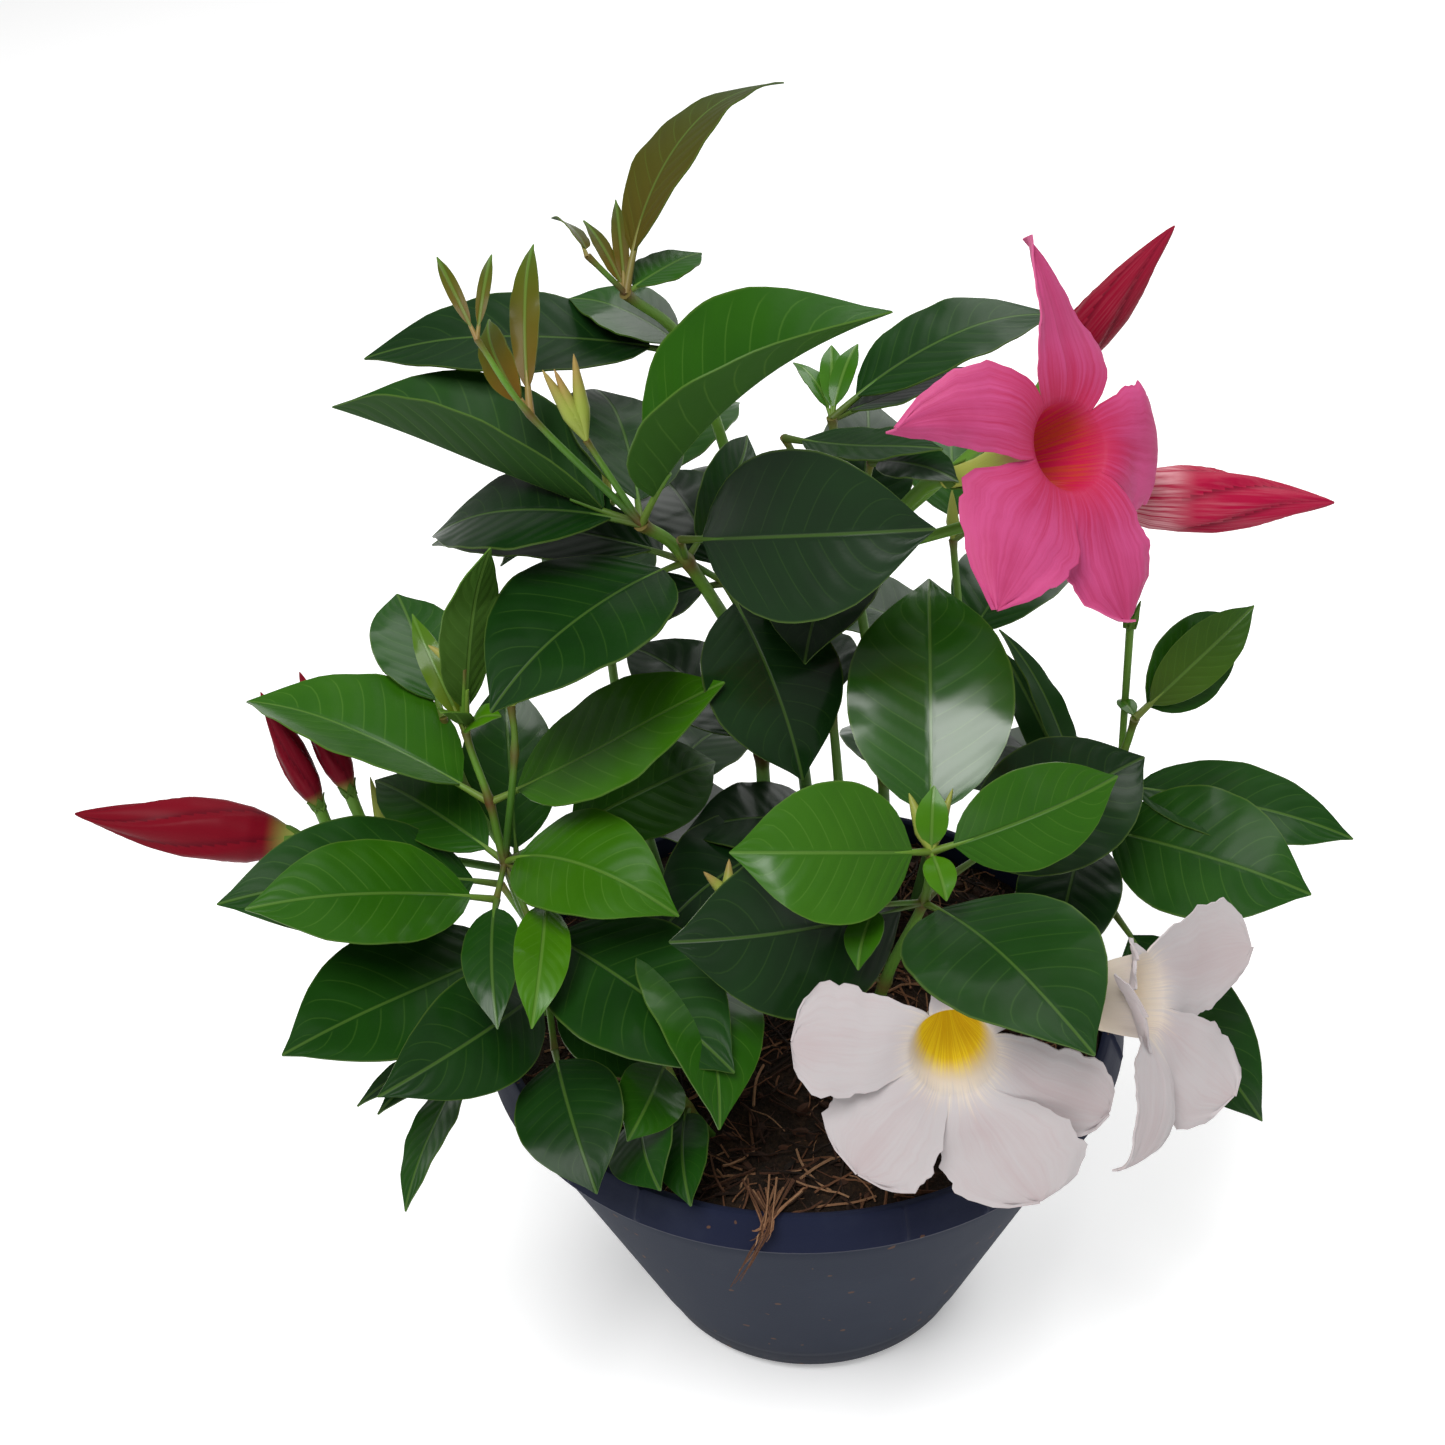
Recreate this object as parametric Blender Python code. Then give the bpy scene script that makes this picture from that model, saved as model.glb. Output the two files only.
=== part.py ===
# Potted mandevilla: a round nursery pot filled with soil, leafy shoots, open blooms and furled buds.
# Sizes and places are in millimetres and angles in degrees until they reach a mesh.
# The origin is the middle of the pot's flat underside, +X is to the right and +Y to the back.

import math

import bmesh
import bpy
import numpy as np

MM = 0.001

# Pot
RIM_RADIUS = 90.0
RIM_LOW = 99.0
POT_HEIGHT = 108.0
RIM_TAPER = 3.0
LIP = 1.0
RIM_WALL = 6.0
RIM_STEP = 3.4
RIM_UNDER = 2.0
EDGE_ROUND = 0.6
FOOT_RADIUS = 42.0
FOOT_CURVE = 3.0
FOOT_ROUND = (2.2, 1.0)
FOOT_HEIGHT = 5.0
WALL = 2.4
FLOOR = 3.0
FLOOR_CURVE = 4.0
POT_SIDES = 40
DRAIN_HOLES = 5
DRAIN_RADIUS = 4.0
DRAIN_CIRCLE = 24.0
DRAIN_SIDES = 10

# Soil
SOIL_TOP = 101.0
SOIL_CROWN = 2.5
SOIL_RELIEF = 1.6
SOIL_RINGS = 5
SOIL_SIDES = 22
HOLE_SIDES = 6
GAP = 0.3

# Leaves and stems
BLADE = 0.75
LEAF_ROWS = (0.0, 0.12, 0.28, 0.52, 0.8, 0.985)
SMALL_LEAF_ROWS = (0.0, 0.22, 0.58, 0.985)
OUTLINE_SHIFT = 0.86
OUTLINE_FULLNESS = 0.7
TIP_TAPER = 0.25
SIDE_FOLD = 7.0
STALK_SHARE = 0.12
STALK_HALF_WIDTH = 1.0
TIP_HALF_WIDTH = 0.4
SMALL_LEAF = 48.0
STEM_SIDES = 4
STEM_STEP = 30.0

# Blooms: places along the funnel and its radius there
FUNNEL = ((0.0, 2.3), (17.0, 3.4), (32.0, 7.8), (45.0, 10.5))
PETAL_COLUMNS = 3
PETAL_ROWS = (0.25, 0.52, 0.78, 0.97)
PETAL = 0.8
PETAL_SECTOR = 0.8
MOUTH_LEAN = 55.0
OPEN_SHARE = 0.3
JOINED_SHARE = 0.4
PINWHEEL = 12.0
CUPPING = 0.08
PETAL_ROOT = 0.6
PETAL_PEAK = 0.66
PEAK_SHIFT = 0.3
PETAL_FALL = 2.4
FALL_SHIFT = 1.2
PETAL_TIP = 0.5
PETAL_STEPS = 12
STALK_BEND = 8.0
BLOOM_STALK = (1.3, 2.2)
BUD_STALK = (1.2, 1.9)
BARE_STALK = (0.9, 1.3)

# Buds: share of the length and share of the full radius there
BUD_SHAPE = ((0.0, 0.4), (0.12, 0.8), (0.3, 1.0), (0.5, 0.95), (0.7, 0.68), (0.86, 0.38), (0.96, 0.16))
BUD_SIDES = 10
BUD_RIDGE = 0.08
SPRIG_SHAPE = ((0.0, 0.3), (0.4, 1.0), (0.75, 0.5))
SPRIG_SIDES = 4

SEED = 6

# Each shoot has named nodes, stems that run through them with a first and a last radius, and leaves.
# A leaf is its node, heading, rise, length with its stalk, width, roll and arch. Heading 0 is +X and
# 90 is +Y, rise is the slope from root to tip, roll turns the face about that line and arch is how
# far the midrib bows, as a share of the length. Two more angles say how far its sides fold up where
# that isn't slight. A sprig is a closed bud: its node, heading, rise, length and radius.
SHOOTS = {
    "shoot_left": dict(
        nodes=dict(
            a=(-42, -8, 84), b=(-58, -20, 128), c=(-70, -30, 157), d=(-76, -30, 182),
            e=(-78, -30, 201), f=(-82, -28, 221), g=(-65, -44, 182), h=(-78, -40, 178),
            i=(-81, -26, 238), j=(-43, -40, 161), k=(-88, -35, 127), l=(-68, -40, 149),
            m=(-66, -55, 140), n=(-70, -34, 218), o=(-70, -30, 229), q=(-79, -20, 167),
            r=(-76, -6, 160), s=(-86, -8, 188), t=(-90, -8, 212), u=(-66, -20, 180),
            v=(-110, -4, 168), w=(-70, -40, 169),
        ),
        stems=(
            ("abcdefi", 2.4, 0.9), ("dg", 1.0, 0.9), ("dh", 1.0, 0.9), ("cj", 1.2, 1.0),
            ("bk", 1.2, 1.0), ("clm", 1.4, 1.0), ("dno", 1.3, 1.0), ("cq", 1.2, 1.0),
            ("brst", 1.8, 1.0), ("du", 1.1, 1.0), ("rv", 1.5, 1.4), ("dw", 1.2, 1.0),
        ),
        leaves=(
            ("e", 154, 13, 71, 41, 6, 0.04, 22, 18), ("e", 2, 29, 67, 36, 10, -0.03),
            ("h", 200, 17, 63, 30, -25, 0.06), ("d", 324, 7, 54, 31, 20, 0.18),
            ("g", 266, -14, 39, 14, -15, 0.1), ("h", 272, -10, 40, 15, 10, 0.1),
            ("t", 108, 15, 48, 25, 5, 0.02), ("f", 10, 79, 52, 17, -60, 0.04),
            ("f", 123, 46, 32, 7, -25, 0.1), ("f", 248, 52, 16, 9, 0, 0.1), ("f", 320, 38, 16, 9, 20, 0.1),
            ("d", 137, 5, 50, 20, -20, 0.06),
            ("u", 41, -4, 60, 27, 40, 0.1), ("q", 202, 16, 74, 34, -30, 0.1),
            ("c", 221, 8, 77, 39, -20, 0.0), ("l", 232, 8, 60, 29, -50, 0.15),
            ("k", 249, -14, 52, 16, 30, 0.02), ("w", 316, -6, 69, 40, 10, 0.06),
            ("j", 289, -9, 60, 33, -25, 0.18), ("m", 284, -10, 44, 28, 15, 0.1),
            ("l", 331, -28, 38, 24, 20, 0.05), ("r", 92, 54, 53, 26, 0, 0.05),
            ("k", 208, -8, 36, 9, 0, 0.05), ("k", 217, -10, 33, 9, 0, 0.05),
        ),
        sprigs=(
            ("o", 115, 78, 18, 2), ("o", 70, 75, 22, 2.1), ("o", 15, 60, 17, 2),
            ("o", 90, 60, 9, 1.4), ("i", 165, 35, 10, 1.6), ("i", 140, 60, 8, 1.4),
            ("i", 60, 60, 8, 1.3), ("v", 110, 60, 20, 1.8), ("v", 70, 55, 19, 1.7),
        ),
    ),
    "shoot_low": dict(
        nodes=dict(a=(-22, -42, 84), b=(-33, -55, 118), c=(-38, -57, 136), d=(-44, -60, 124)),
        stems=(("abc", 1.8, 1.0), ("bd", 1.0, 0.9)),
        leaves=(
            ("c", 251, -1, 28, 18, -30, 0.1), ("d", 276, 1, 30, 22, 40, 0.1),
            ("b", 269, -4, 32, 16, 25, 0.1),
        ),
        sprigs=(),
    ),
    "shoot_upper": dict(
        nodes=dict(
            a=(-5, 12, 84), b=(-8, 14, 150), c=(-8, 8, 205), d=(-26, -9, 255), e=(-36, -20, 272),
            f=(-59, -25, 304), g=(-69, -25, 323), h=(-47, -23, 296), i=(-27, -18, 266),
            j=(-17, 0, 243), k=(-9, 12, 182), l=(-30, -8, 150),
        ),
        stems=(("abkcde", 2.8, 1.8), ("efg", 1.2, 0.7), ("eh", 1.1, 0.8), ("di", 1.2, 1.0),
               ("dj", 1.2, 1.0), ("bl", 1.3, 1.0)),
        leaves=(
            ("e", 153, 12, 86, 44, -20, -0.02, 82, 22), ("e", 340, 46, 84, 48, 40, 0.11, 20, 72),
            ("e", 155, -12, 60, 34, -10, 0.08), ("k", 137, 19, 52, 30, 0, 0.08),
            ("d", 222, -10, 64, 46, 0, 0.08, 8, 8), ("f", 112, 25, 30, 9, -50, 0.1),
            ("f", 88, 38, 44, 7, -10, 0.1), ("g", 116, 31, 24, 3.4, -20, 0.1),
            ("g", 79, 35, 22, 3, 10, 0.1), ("i", 335, 13, 64, 40, 65, 0.1),
            ("j", 297, -44, 53, 36, 5, 0.1), ("d", 65, 19, 44, 16, 50, 0.08),
            ("e", 101, 12, 55, 30, 20, 0.08), ("d", 154, -6, 74, 26, -10, 0.08),
            ("d", 145, -15, 62, 28, 10, 0.08), ("j", 116, 21, 42, 26, 0, 0.1),
            ("j", 196, -18, 42, 24, 0, 0.1),
            ("l", 33, 5, 48, 34, 30, 0.1), ("b", 170, 10, 46, 30, 0, 0.1),
        ),
        sprigs=(
            ("h", 165, 62, 19, 2), ("h", 158, 69, 18, 1.8), ("h", 110, 78, 20, 2),
        ),
    ),
    "shoot_top": dict(
        nodes=dict(a=(8, 30, 84), b=(2, 34, 170), c=(-10, 32, 240), d=(-23, 25, 294),
                   e=(-37, 10, 317), f=(-45, 9, 327)),
        stems=(("abcde", 2.6, 1.5), ("ef", 0.9, 0.8)),
        leaves=(
            ("e", 54, 26, 74, 23, -20, 0.15), ("d", 178, 3, 80, 34, -10, 0.05),
            ("e", 45, 5, 26, 15, 0, 0.02), ("d", 153, 18, 34, 24, 0, 0.08),
            ("f", 125, 22, 15, 9, 40, 0.1), ("e", 120, 35, 22, 4, 0, 0.05),
            ("e", 94, 36, 26, 4, 0, 0.05), ("c", 122, -3, 42, 28, 0, 0.1),
        ),
        sprigs=(),
    ),
    "shoot_middle": dict(
        nodes=dict(a=(24, 14, 84), b=(24, 18, 170), c=(16, 14, 240), d=(11, 10, 282),
                   e=(-1, 5, 280), f=(20, 5, 272)),
        stems=(("abcd", 2.4, 1.3), ("ce", 1.1, 1.0), ("cf", 1.2, 1.0)),
        leaves=(
            ("d", 22, 14, 64, 27, 5, 0.1), ("d", 20, 9, 40, 20, -10, 0.0),
            ("e", 325, 12, 44, 16, 5, -0.04), ("f", 309, 13, 30, 14, 10, 0.05),
            ("d", 116, 23, 20, 6, 10, 0.1), ("d", 86, 29, 22, 6, 0, 0.1), ("d", 66, 32, 22, 6, 0, 0.1),
            ("c", 80, 30, 50, 26, 20, 0.1),
            ("c", 250, -4, 44, 30, 10, 0.1), ("b", 0, 8, 40, 30, 0, 0.1),
        ),
        sprigs=(),
    ),
    "shoot_front": dict(
        nodes=dict(a=(12, -18, 84), b=(20, -35, 140), c=(28, -52, 180), d=(29, -58, 200),
                   e=(32, -45, 201), f=(36, -42, 180), g=(16, -62, 188), h=(-19, -44, 170),
                   i=(-20, -43, 178)),
        stems=(("abcd", 2.4, 1.3), ("de", 1.2, 1.0), ("cf", 1.2, 1.0), ("cg", 0.9, 0.8),
               ("bhi", 1.1, 0.9)),
        leaves=(
            ("d", 193, 13, 50, 34, -55, 0.1), ("d", 9, 17, 48, 25, 65, 0.08),
            ("c", 295, 6, 70, 46, 2, 0.08), ("g", 248, -21, 18, 10, 15, 0.1),
            ("c", 200, 8, 66, 44, -65, 0.1), ("d", 85, 36, 72, 41, 0, 0.08),
            ("f", 32, 9, 65, 36, 28, 0.04), ("d", 80, 64, 16, 8, 0, 0.1),
            ("d", 280, -17, 14, 8, 0, 0.1),
        ),
        sprigs=(
            ("d", 118, 50, 15, 2.2), ("d", 55, 50, 16, 1.7), ("i", 170, 50, 9, 1.6),
            ("i", 80, 60, 9, 1.6), ("i", 20, 40, 9, 1.6),
        ),
    ),
    "shoot_right": dict(
        nodes=dict(a=(40, 8, 84), b=(62, 8, 132), c=(78, 2, 160), d=(86, 2, 182),
                   e=(88, -2, 197), f=(84, 9, 168), g=(85, -8, 137)),
        stems=(("abcde", 2.2, 1.2), ("cf", 1.2, 1.0), ("bg", 1.2, 1.0)),
        leaves=(
            ("e", 39, 17, 50, 15, 40, 0.02), ("e", 46, 10, 50, 22, 50, 0.0),
            ("e", 104, 0, 10, 5, 0, 0.1), ("c", 121, 50, 58, 12, 20, 0.06),
            ("f", 340, -3, 66, 25, 20, 0.05), ("c", 328, 0, 62, 38, 32, 0.05),
            ("g", 306, -32, 67, 28, 35, 0.1), ("c", 116, 38, 54, 12, -20, 0.05),
            ("c", 250, -20, 46, 28, 0, 0.08),
        ),
        sprigs=(),
    ),
    "shoot_core": dict(
        nodes=dict(a=(11, -8, 84), b=(12, -6, 130), c=(11, -6, 170), d=(9, -4, 205), e=(6, -2, 222)),
        stems=(("abcde", 2.4, 1.3),),
        leaves=(
            ("d", 104, 5, 38, 26, 0, 0.1),
            ("c", 213, -6, 60, 38, 0, 0.1),
            ("b", 196, 0, 68, 38, 0, 0.1), ("c", 184, 4, 42, 30, 0, 0.08),
            ("b", 182, 10, 58, 30, 0, 0.1),
        ),
        sprigs=(),
    ),
    "shoot_white": dict(
        nodes=dict(a=(32, -24, 84), b=(37, -34, 122)),
        stems=(("ab", 2.0, 1.4),),
        leaves=(),
        sprigs=(),
    ),
    "shoot_back_left": dict(
        nodes=dict(a=(-30, 26, 84), b=(-44, 44, 140), c=(-50, 56, 190), d=(-48, 60, 232)),
        stems=(("abcd", 2.4, 1.2),),
        leaves=(
            ("b", 150, 0, 66, 34, 0, 0.1), ("b", 60, -5, 62, 32, 0, 0.1),
            ("c", 190, 5, 64, 34, 0, 0.1), ("c", 95, 5, 66, 34, 0, 0.1),
            ("d", 140, 15, 58, 30, 0, 0.1), ("d", 50, 10, 60, 30, 0, 0.1),
        ),
        sprigs=(("d", 90, 70, 14, 2.0),),
    ),
    "shoot_back_right": dict(
        nodes=dict(a=(30, 34, 84), b=(44, 50, 136), c=(50, 62, 178), d=(48, 66, 214)),
        stems=(("abcd", 2.4, 1.2),),
        leaves=(
            ("b", 20, -5, 64, 34, 0, 0.1), ("b", 110, -8, 60, 32, 0, 0.1),
            ("c", 55, 5, 66, 34, 0, 0.1), ("c", 150, 5, 60, 32, 0, 0.1),
            ("d", 85, 15, 58, 30, 0, 0.1), ("d", 10, 12, 56, 28, 0, 0.1),
        ),
        sprigs=(("d", 90, 70, 14, 2.0),),
    ),
}

# A bloom is its shoot, the node its stalk leaves, the middle of its throat, the heading and rise it
# faces, how far from that line its petals open, and its petals. A petal is its angle about the throat,
# its length, the half widths on either side, how pointed it is from 0 to 1, how far its end bends back
# and how far its tip hooks aside, as a share of the length.
BLOOMS = {
    "bloom_pink": dict(
        shoot="shoot_middle", node="c", throat=(62, -30, 292), heading=308, rise=31, open=88,
        petals=((-150, 36, 18, 13, 0.8, 5, 0.08), (-92, 32, 13, 11, 0.4, 10, -0.05),
                (-16, 21, 14, 14, 0.2, 50, -0.1), (74, 37, 15, 8, 1.0, 0, 0.2),
                (142, 42, 13, 8, 0.8, -10, 0.36)),
    ),
    "bloom_white_front": dict(
        shoot="shoot_white", node="b", throat=(31, -93, 168), heading=266, rise=24, open=88,
        petals=((-128, 27, 15, 13, 0.0, 5, 0.0), (-65, 31, 16, 17, 0.1, 5, 0.1),
                (-22, 29, 11, 12, 0.1, 15, 0.0), (70, 12, 16, 11, 0.4, -80, 0.2),
                (175, 28, 14, 12, 0.0, 5, 0.0)),
    ),
    "bloom_white_side": dict(
        shoot="shoot_white", node="b", throat=(81, -69, 161), heading=335, rise=20, open=66,
        petals=((-148, 39, 12, 8, 0.9, 90, -0.1), (-88, 26, 18, 15, 0.1, -12, 0.0),
                (-18, 27, 14, 15, 0.2, -50, 0.05), (105, 4, 8, 8, 0.3, -20, 0.0),
                (165, 6, 11, 9, 0.2, -80, 0.0)),
    ),
}

# A furled bud is its shoot, the node its stalk leaves, its base, its tip, radius and turn of the
# furled petals over its length.
BUDS = {
    "bud_red_long": dict(shoot="shoot_left", node="v", base=(-132, -9, 176), tip=(-188, -10, 189),
                         radius=8.0, turn=70),
    "bud_red_back": dict(shoot="shoot_left", node="v", base=(-119, 3, 182), tip=(-128, 9, 217),
                         radius=4.2, turn=60),
    "bud_red_small": dict(shoot="shoot_left", node="v", base=(-127, 0, 180), tip=(-138, 5, 214),
                          radius=4.0, turn=60),
    "bud_pink_up": dict(shoot="shoot_middle", node="c", base=(63, 10, 289), tip=(90, 5, 329),
                        radius=5.6, turn=60),
    "bud_pink_right": dict(shoot="shoot_middle", node="c", base=(76, 3, 260), tip=(132, -5, 260),
                           radius=8.0, turn=80),
}

# Extra stalks with a calyx at their end, where a bloom has dropped: shoot, node and end
BARE_STALKS = (("shoot_right", "d", (88, 12, 217)),)

COLOURS = {
    "pot": (0.045, 0.055, 0.085), "soil": (0.06, 0.03, 0.016), "shoot": (0.02, 0.1, 0.015),
    "bloom_pink": (0.75, 0.08, 0.22), "bloom_white": (0.85, 0.76, 0.75), "bud": (0.4, 0.01, 0.04),
}


def clear_scene():
    for thing in list(bpy.data.objects):
        bpy.data.objects.remove(thing, do_unlink=True)


def material(name, roughness):
    made = bpy.data.materials.get(name) or bpy.data.materials.new(name)
    made.use_nodes = True
    shader = made.node_tree.nodes["Principled BSDF"]
    shader.inputs["Base Color"].default_value = (*COLOURS[name], 1.0)
    shader.inputs["Roughness"].default_value = roughness
    return made


def add_object(name, points, faces, finish=None):
    """Makes an object from points in millimetres."""
    mesh = bpy.data.meshes.new(name)
    mesh.from_pydata([[float(x) * MM for x in p] for p in points], [], [list(f) for f in faces])
    mesh.validate()
    made = bpy.data.objects.new(name, mesh)
    bpy.context.scene.collection.objects.link(made)
    if finish:
        mesh.materials.append(finish)
    return made


def direction(heading, rise):
    h, r = math.radians(heading), math.radians(rise)
    return np.array([math.cos(r) * math.cos(h), math.cos(r) * math.sin(h), math.sin(r)])


def unit(v):
    return v / np.linalg.norm(v)


def thicken(points, triangles, thickness):
    """Turns an open sheet of triangles into a closed solid with like triangles on both faces."""
    points = np.asarray(points, float)
    normals = np.zeros_like(points)
    sides = {}
    for a, b, c in triangles:
        n = np.cross(points[b] - points[a], points[c] - points[a])
        for i in (a, b, c):
            normals[i] += n
        for edge in ((a, b), (b, c), (c, a)):
            sides[edge] = True
    normals /= np.linalg.norm(normals, axis=1)[:, None]
    count = len(points)
    both = np.vstack([points + normals * thickness / 2, points - normals * thickness / 2])
    faces = list(triangles) + [(c + count, b + count, a + count) for a, b, c in triangles]
    for a, b in sides:
        if (b, a) not in sides:
            faces += [(b, a, a + count), (b, a + count, b + count)]
    return both, faces


def blade_outline(s):
    """Half the width of a leaf at a share of its blade, as a share of half its width."""
    return math.sin(math.pi * s ** OUTLINE_SHIFT) ** OUTLINE_FULLNESS * (1 - TIP_TAPER * s ** 6)


def leaf_solid(root, heading, rise, length, width, roll, arch, left=SIDE_FOLD, right=SIDE_FOLD):
    along = direction(heading, rise)
    up = direction(heading, rise + 90)
    across = np.cross(along, up)
    turn = math.radians(roll)
    up, across = (up * math.cos(turn) + across * math.sin(turn),
                  across * math.cos(turn) - up * math.sin(turn))
    left, right = math.radians(left), math.radians(right)
    left_side = up * math.sin(left) - across * math.cos(left)
    right_side = up * math.sin(right) + across * math.cos(right)
    points, triangles = [], []
    places = LEAF_ROWS if length > SMALL_LEAF else SMALL_LEAF_ROWS
    for u in places:
        s = max(0.0, (u - STALK_SHARE) / (1 - STALK_SHARE))
        half = max(STALK_HALF_WIDTH if s < 0.5 else TIP_HALF_WIDTH, width / 2 * blade_outline(s))
        rib = root + along * length * u + up * arch * length * 4 * u * (1 - u)
        points += [rib + left_side * half, rib, rib + right_side * half]
    for row in range(len(places) - 1):
        a = 3 * row
        triangles += [(a, a + 1, a + 3), (a + 1, a + 4, a + 3), (a + 1, a + 2, a + 5),
                      (a + 1, a + 5, a + 4)]
    return thicken(points, triangles, BLADE)


def smooth_path(knots, step):
    """Points along a smooth curve through the knots, about a step apart."""
    knots = [np.array(k, float) for k in knots]
    ends = [2 * knots[0] - knots[1]] + knots + [2 * knots[-1] - knots[-2]]
    path = []
    for k in range(len(knots) - 1):
        p0, p1, p2, p3 = ends[k:k + 4]
        count = max(1, round(np.linalg.norm(p2 - p1) / step))
        for t in np.arange(count) / count:
            path.append(0.5 * (2 * p1 + (p2 - p0) * t + (2 * p0 - 5 * p1 + 4 * p2 - p3) * t ** 2
                               + (3 * p1 - p0 - 3 * p2 + p3) * t ** 3))
    return path + [knots[-1]]


def tube_solid(path, first, last, sides):
    """A closed round rod along a path, with a radius that changes evenly from end to end."""
    points, faces = [], []
    path = [np.array(p, float) for p in path]
    side = None
    for i, p in enumerate(path):
        ahead = unit(path[min(i + 1, len(path) - 1)] - path[max(i - 1, 0)])
        if side is None:
            side = unit(np.cross(ahead, (0.3, 1.0, 0.2)))
        side = unit(side - ahead * side.dot(ahead))
        other = np.cross(ahead, side)
        radius = first + (last - first) * i / (len(path) - 1)
        for k in range(sides):
            a = 2 * math.pi * k / sides
            points.append(p + radius * (side * math.cos(a) + other * math.sin(a)))
    for i in range(len(path) - 1):
        for k in range(sides):
            a, b = i * sides + k, i * sides + (k + 1) % sides
            faces += [(a, b, b + sides), (a, b + sides, a + sides)]
    points += [path[0], path[-1]]
    low, high, top = len(points) - 2, len(points) - 1, (len(path) - 1) * sides
    for k in range(sides):
        faces += [(low, (k + 1) % sides, k), (high, top + k, top + (k + 1) % sides)]
    return points, faces


def spindle_solid(base, tip, radius, shape, sides, turn, ridge):
    """A closed bud: a turned shape whose ridges run round it as furled petals do."""
    base, tip = np.array(base, float), np.array(tip, float)
    ahead = unit(tip - base)
    side = unit(np.cross(ahead, (0.2, 1.0, 0.3)))
    other = np.cross(ahead, side)
    points, faces = [], []
    for share, full in shape:
        for k in range(sides):
            a = 2 * math.pi * k / sides + math.radians(turn) * share
            r = radius * full * (1 + (ridge if k % 2 else -ridge) * min(1.0, share * 3))
            points.append(base + (tip - base) * share + r * (side * math.cos(a) + other * math.sin(a)))
    rows = len(shape)
    for i in range(rows - 1):
        for k in range(sides):
            a, b = i * sides + k, i * sides + (k + 1) % sides
            faces += [(a, b, b + sides), (a, b + sides, a + sides)]
    points += [base, tip]
    low, high, top = len(points) - 2, len(points) - 1, (rows - 1) * sides
    for k in range(sides):
        faces += [(low, (k + 1) % sides, k), (high, top + k, top + (k + 1) % sides)]
    return points, faces


def flower_frame(bloom):
    ahead = direction(bloom["heading"], bloom["rise"])
    right = unit(np.cross((0.0, 0.0, 1.0), ahead))
    return ahead, right, np.cross(ahead, right)


def petal_half_width(full, point, u):
    """Half a petal's width: it widens from the mouth, is widest at its peak and narrows to its tip."""
    root = FUNNEL[-1][1] * PETAL_ROOT
    peak = PETAL_PEAK - PEAK_SHIFT * point
    if u < peak:
        return root + (full - root) * math.sin(math.pi / 2 * u / peak)
    tail = (u - peak) / (1 - peak)
    return max(PETAL_TIP, full * (1 - tail ** (PETAL_FALL - FALL_SHIFT * point)) ** ((1 + point) / 2))


def petal_point(bloom, petal, low, high, u, v):
    """A point of a petal: u runs from the throat's mouth to the tip and v across from -1 to 1."""
    angle, length, left, right, point, bend, hook = petal
    ahead, across, up = flower_frame(bloom)
    mouth = FUNNEL[-1][1]
    out, rise = 0.0, 0.0
    for k in range(PETAL_STEPS):
        t = u * (k + 0.5) / PETAL_STEPS
        lean = math.radians(MOUTH_LEAN + (bloom["open"] - MOUTH_LEAN) * min(1.0, t / OPEN_SHARE)
                            + bend * t * t)
        out += math.sin(lean) * length * u / PETAL_STEPS
        rise += math.cos(lean) * length * u / PETAL_STEPS
    half = petal_half_width(left if v < 0 else right, point, u)
    side = v * half
    lift = side * math.tan(math.radians(PINWHEEL)) * min(1.0, u / JOINED_SHARE) - CUPPING * side * v
    a = math.radians(angle)
    outward = across * math.cos(a) + up * math.sin(a)
    around = up * math.cos(a) - across * math.sin(a)
    free = outward * (mouth + out) + around * (side + hook * length * u * u) + ahead * (rise + lift)
    turn = math.radians(low + (high - low) * (v + 1) / 2)
    joined = (across * math.cos(turn) + up * math.sin(turn)) * (mouth + out) + ahead * rise
    share = min(1.0, u / JOINED_SHARE)
    share = share * share * (3 - 2 * share)
    return np.array(bloom["throat"], float) + joined * (1 - share) + free * share


def bloom_solid(bloom):
    """Funnel and petals as one sheet, thickened: each petal leaves its own arc of the mouth."""
    ahead, across, up = flower_frame(bloom)
    throat = np.array(bloom["throat"], float)
    depth = FUNNEL[-1][0]
    columns = PETAL_COLUMNS + 1
    petals = bloom["petals"]
    count = columns * len(petals)
    points, triangles = [throat - ahead * depth], []
    middles = [petal[0] for petal in petals]
    before = [middles[-1] - 360] + middles[:-1]
    after = middles[1:] + [middles[0] + 360]
    arcs = [(m - (m - b) / 2 * PETAL_SECTOR, m + (a - m) / 2 * PETAL_SECTOR)
            for b, m, a in zip(before, middles, after)]
    angles = [low + (high - low) * k / PETAL_COLUMNS for low, high in arcs for k in range(columns)]
    for place, radius in FUNNEL:
        for angle in angles:
            a = math.radians(angle)
            points.append(throat + ahead * (place - depth)
                          + radius * (across * math.cos(a) + up * math.sin(a)))
    for k in range(count):
        triangles.append((0, 1 + (k + 1) % count, 1 + k))
    for ring in range(len(FUNNEL) - 1):
        for k in range(count):
            a, b = 1 + ring * count + k, 1 + ring * count + (k + 1) % count
            triangles += [(a, b, b + count), (a, b + count, a + count)]
    mouth = 1 + (len(FUNNEL) - 1) * count
    for number, petal in enumerate(petals):
        last = [mouth + number * columns + k for k in range(columns)]
        for u in PETAL_ROWS:
            row = [len(points) + k for k in range(columns)]
            points += [petal_point(bloom, petal, *arcs[number], u, 2 * k / PETAL_COLUMNS - 1)
                       for k in range(columns)]
            for k in range(PETAL_COLUMNS):
                triangles += [(last[k], last[k + 1], row[k + 1]), (last[k], row[k + 1], row[k])]
            last = row
    return thicken(points, triangles, PETAL)


def stalk_path(start, end, ahead):
    """A flower stalk that leaves its node, bends and meets its bloom squarely."""
    start, end = np.array(start, float), np.array(end, float)
    near = end - ahead * STALK_BEND
    return smooth_path([start, (start + near) / 2, near, end - ahead * (PETAL / 2 + GAP)], STEM_STEP)


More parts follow.
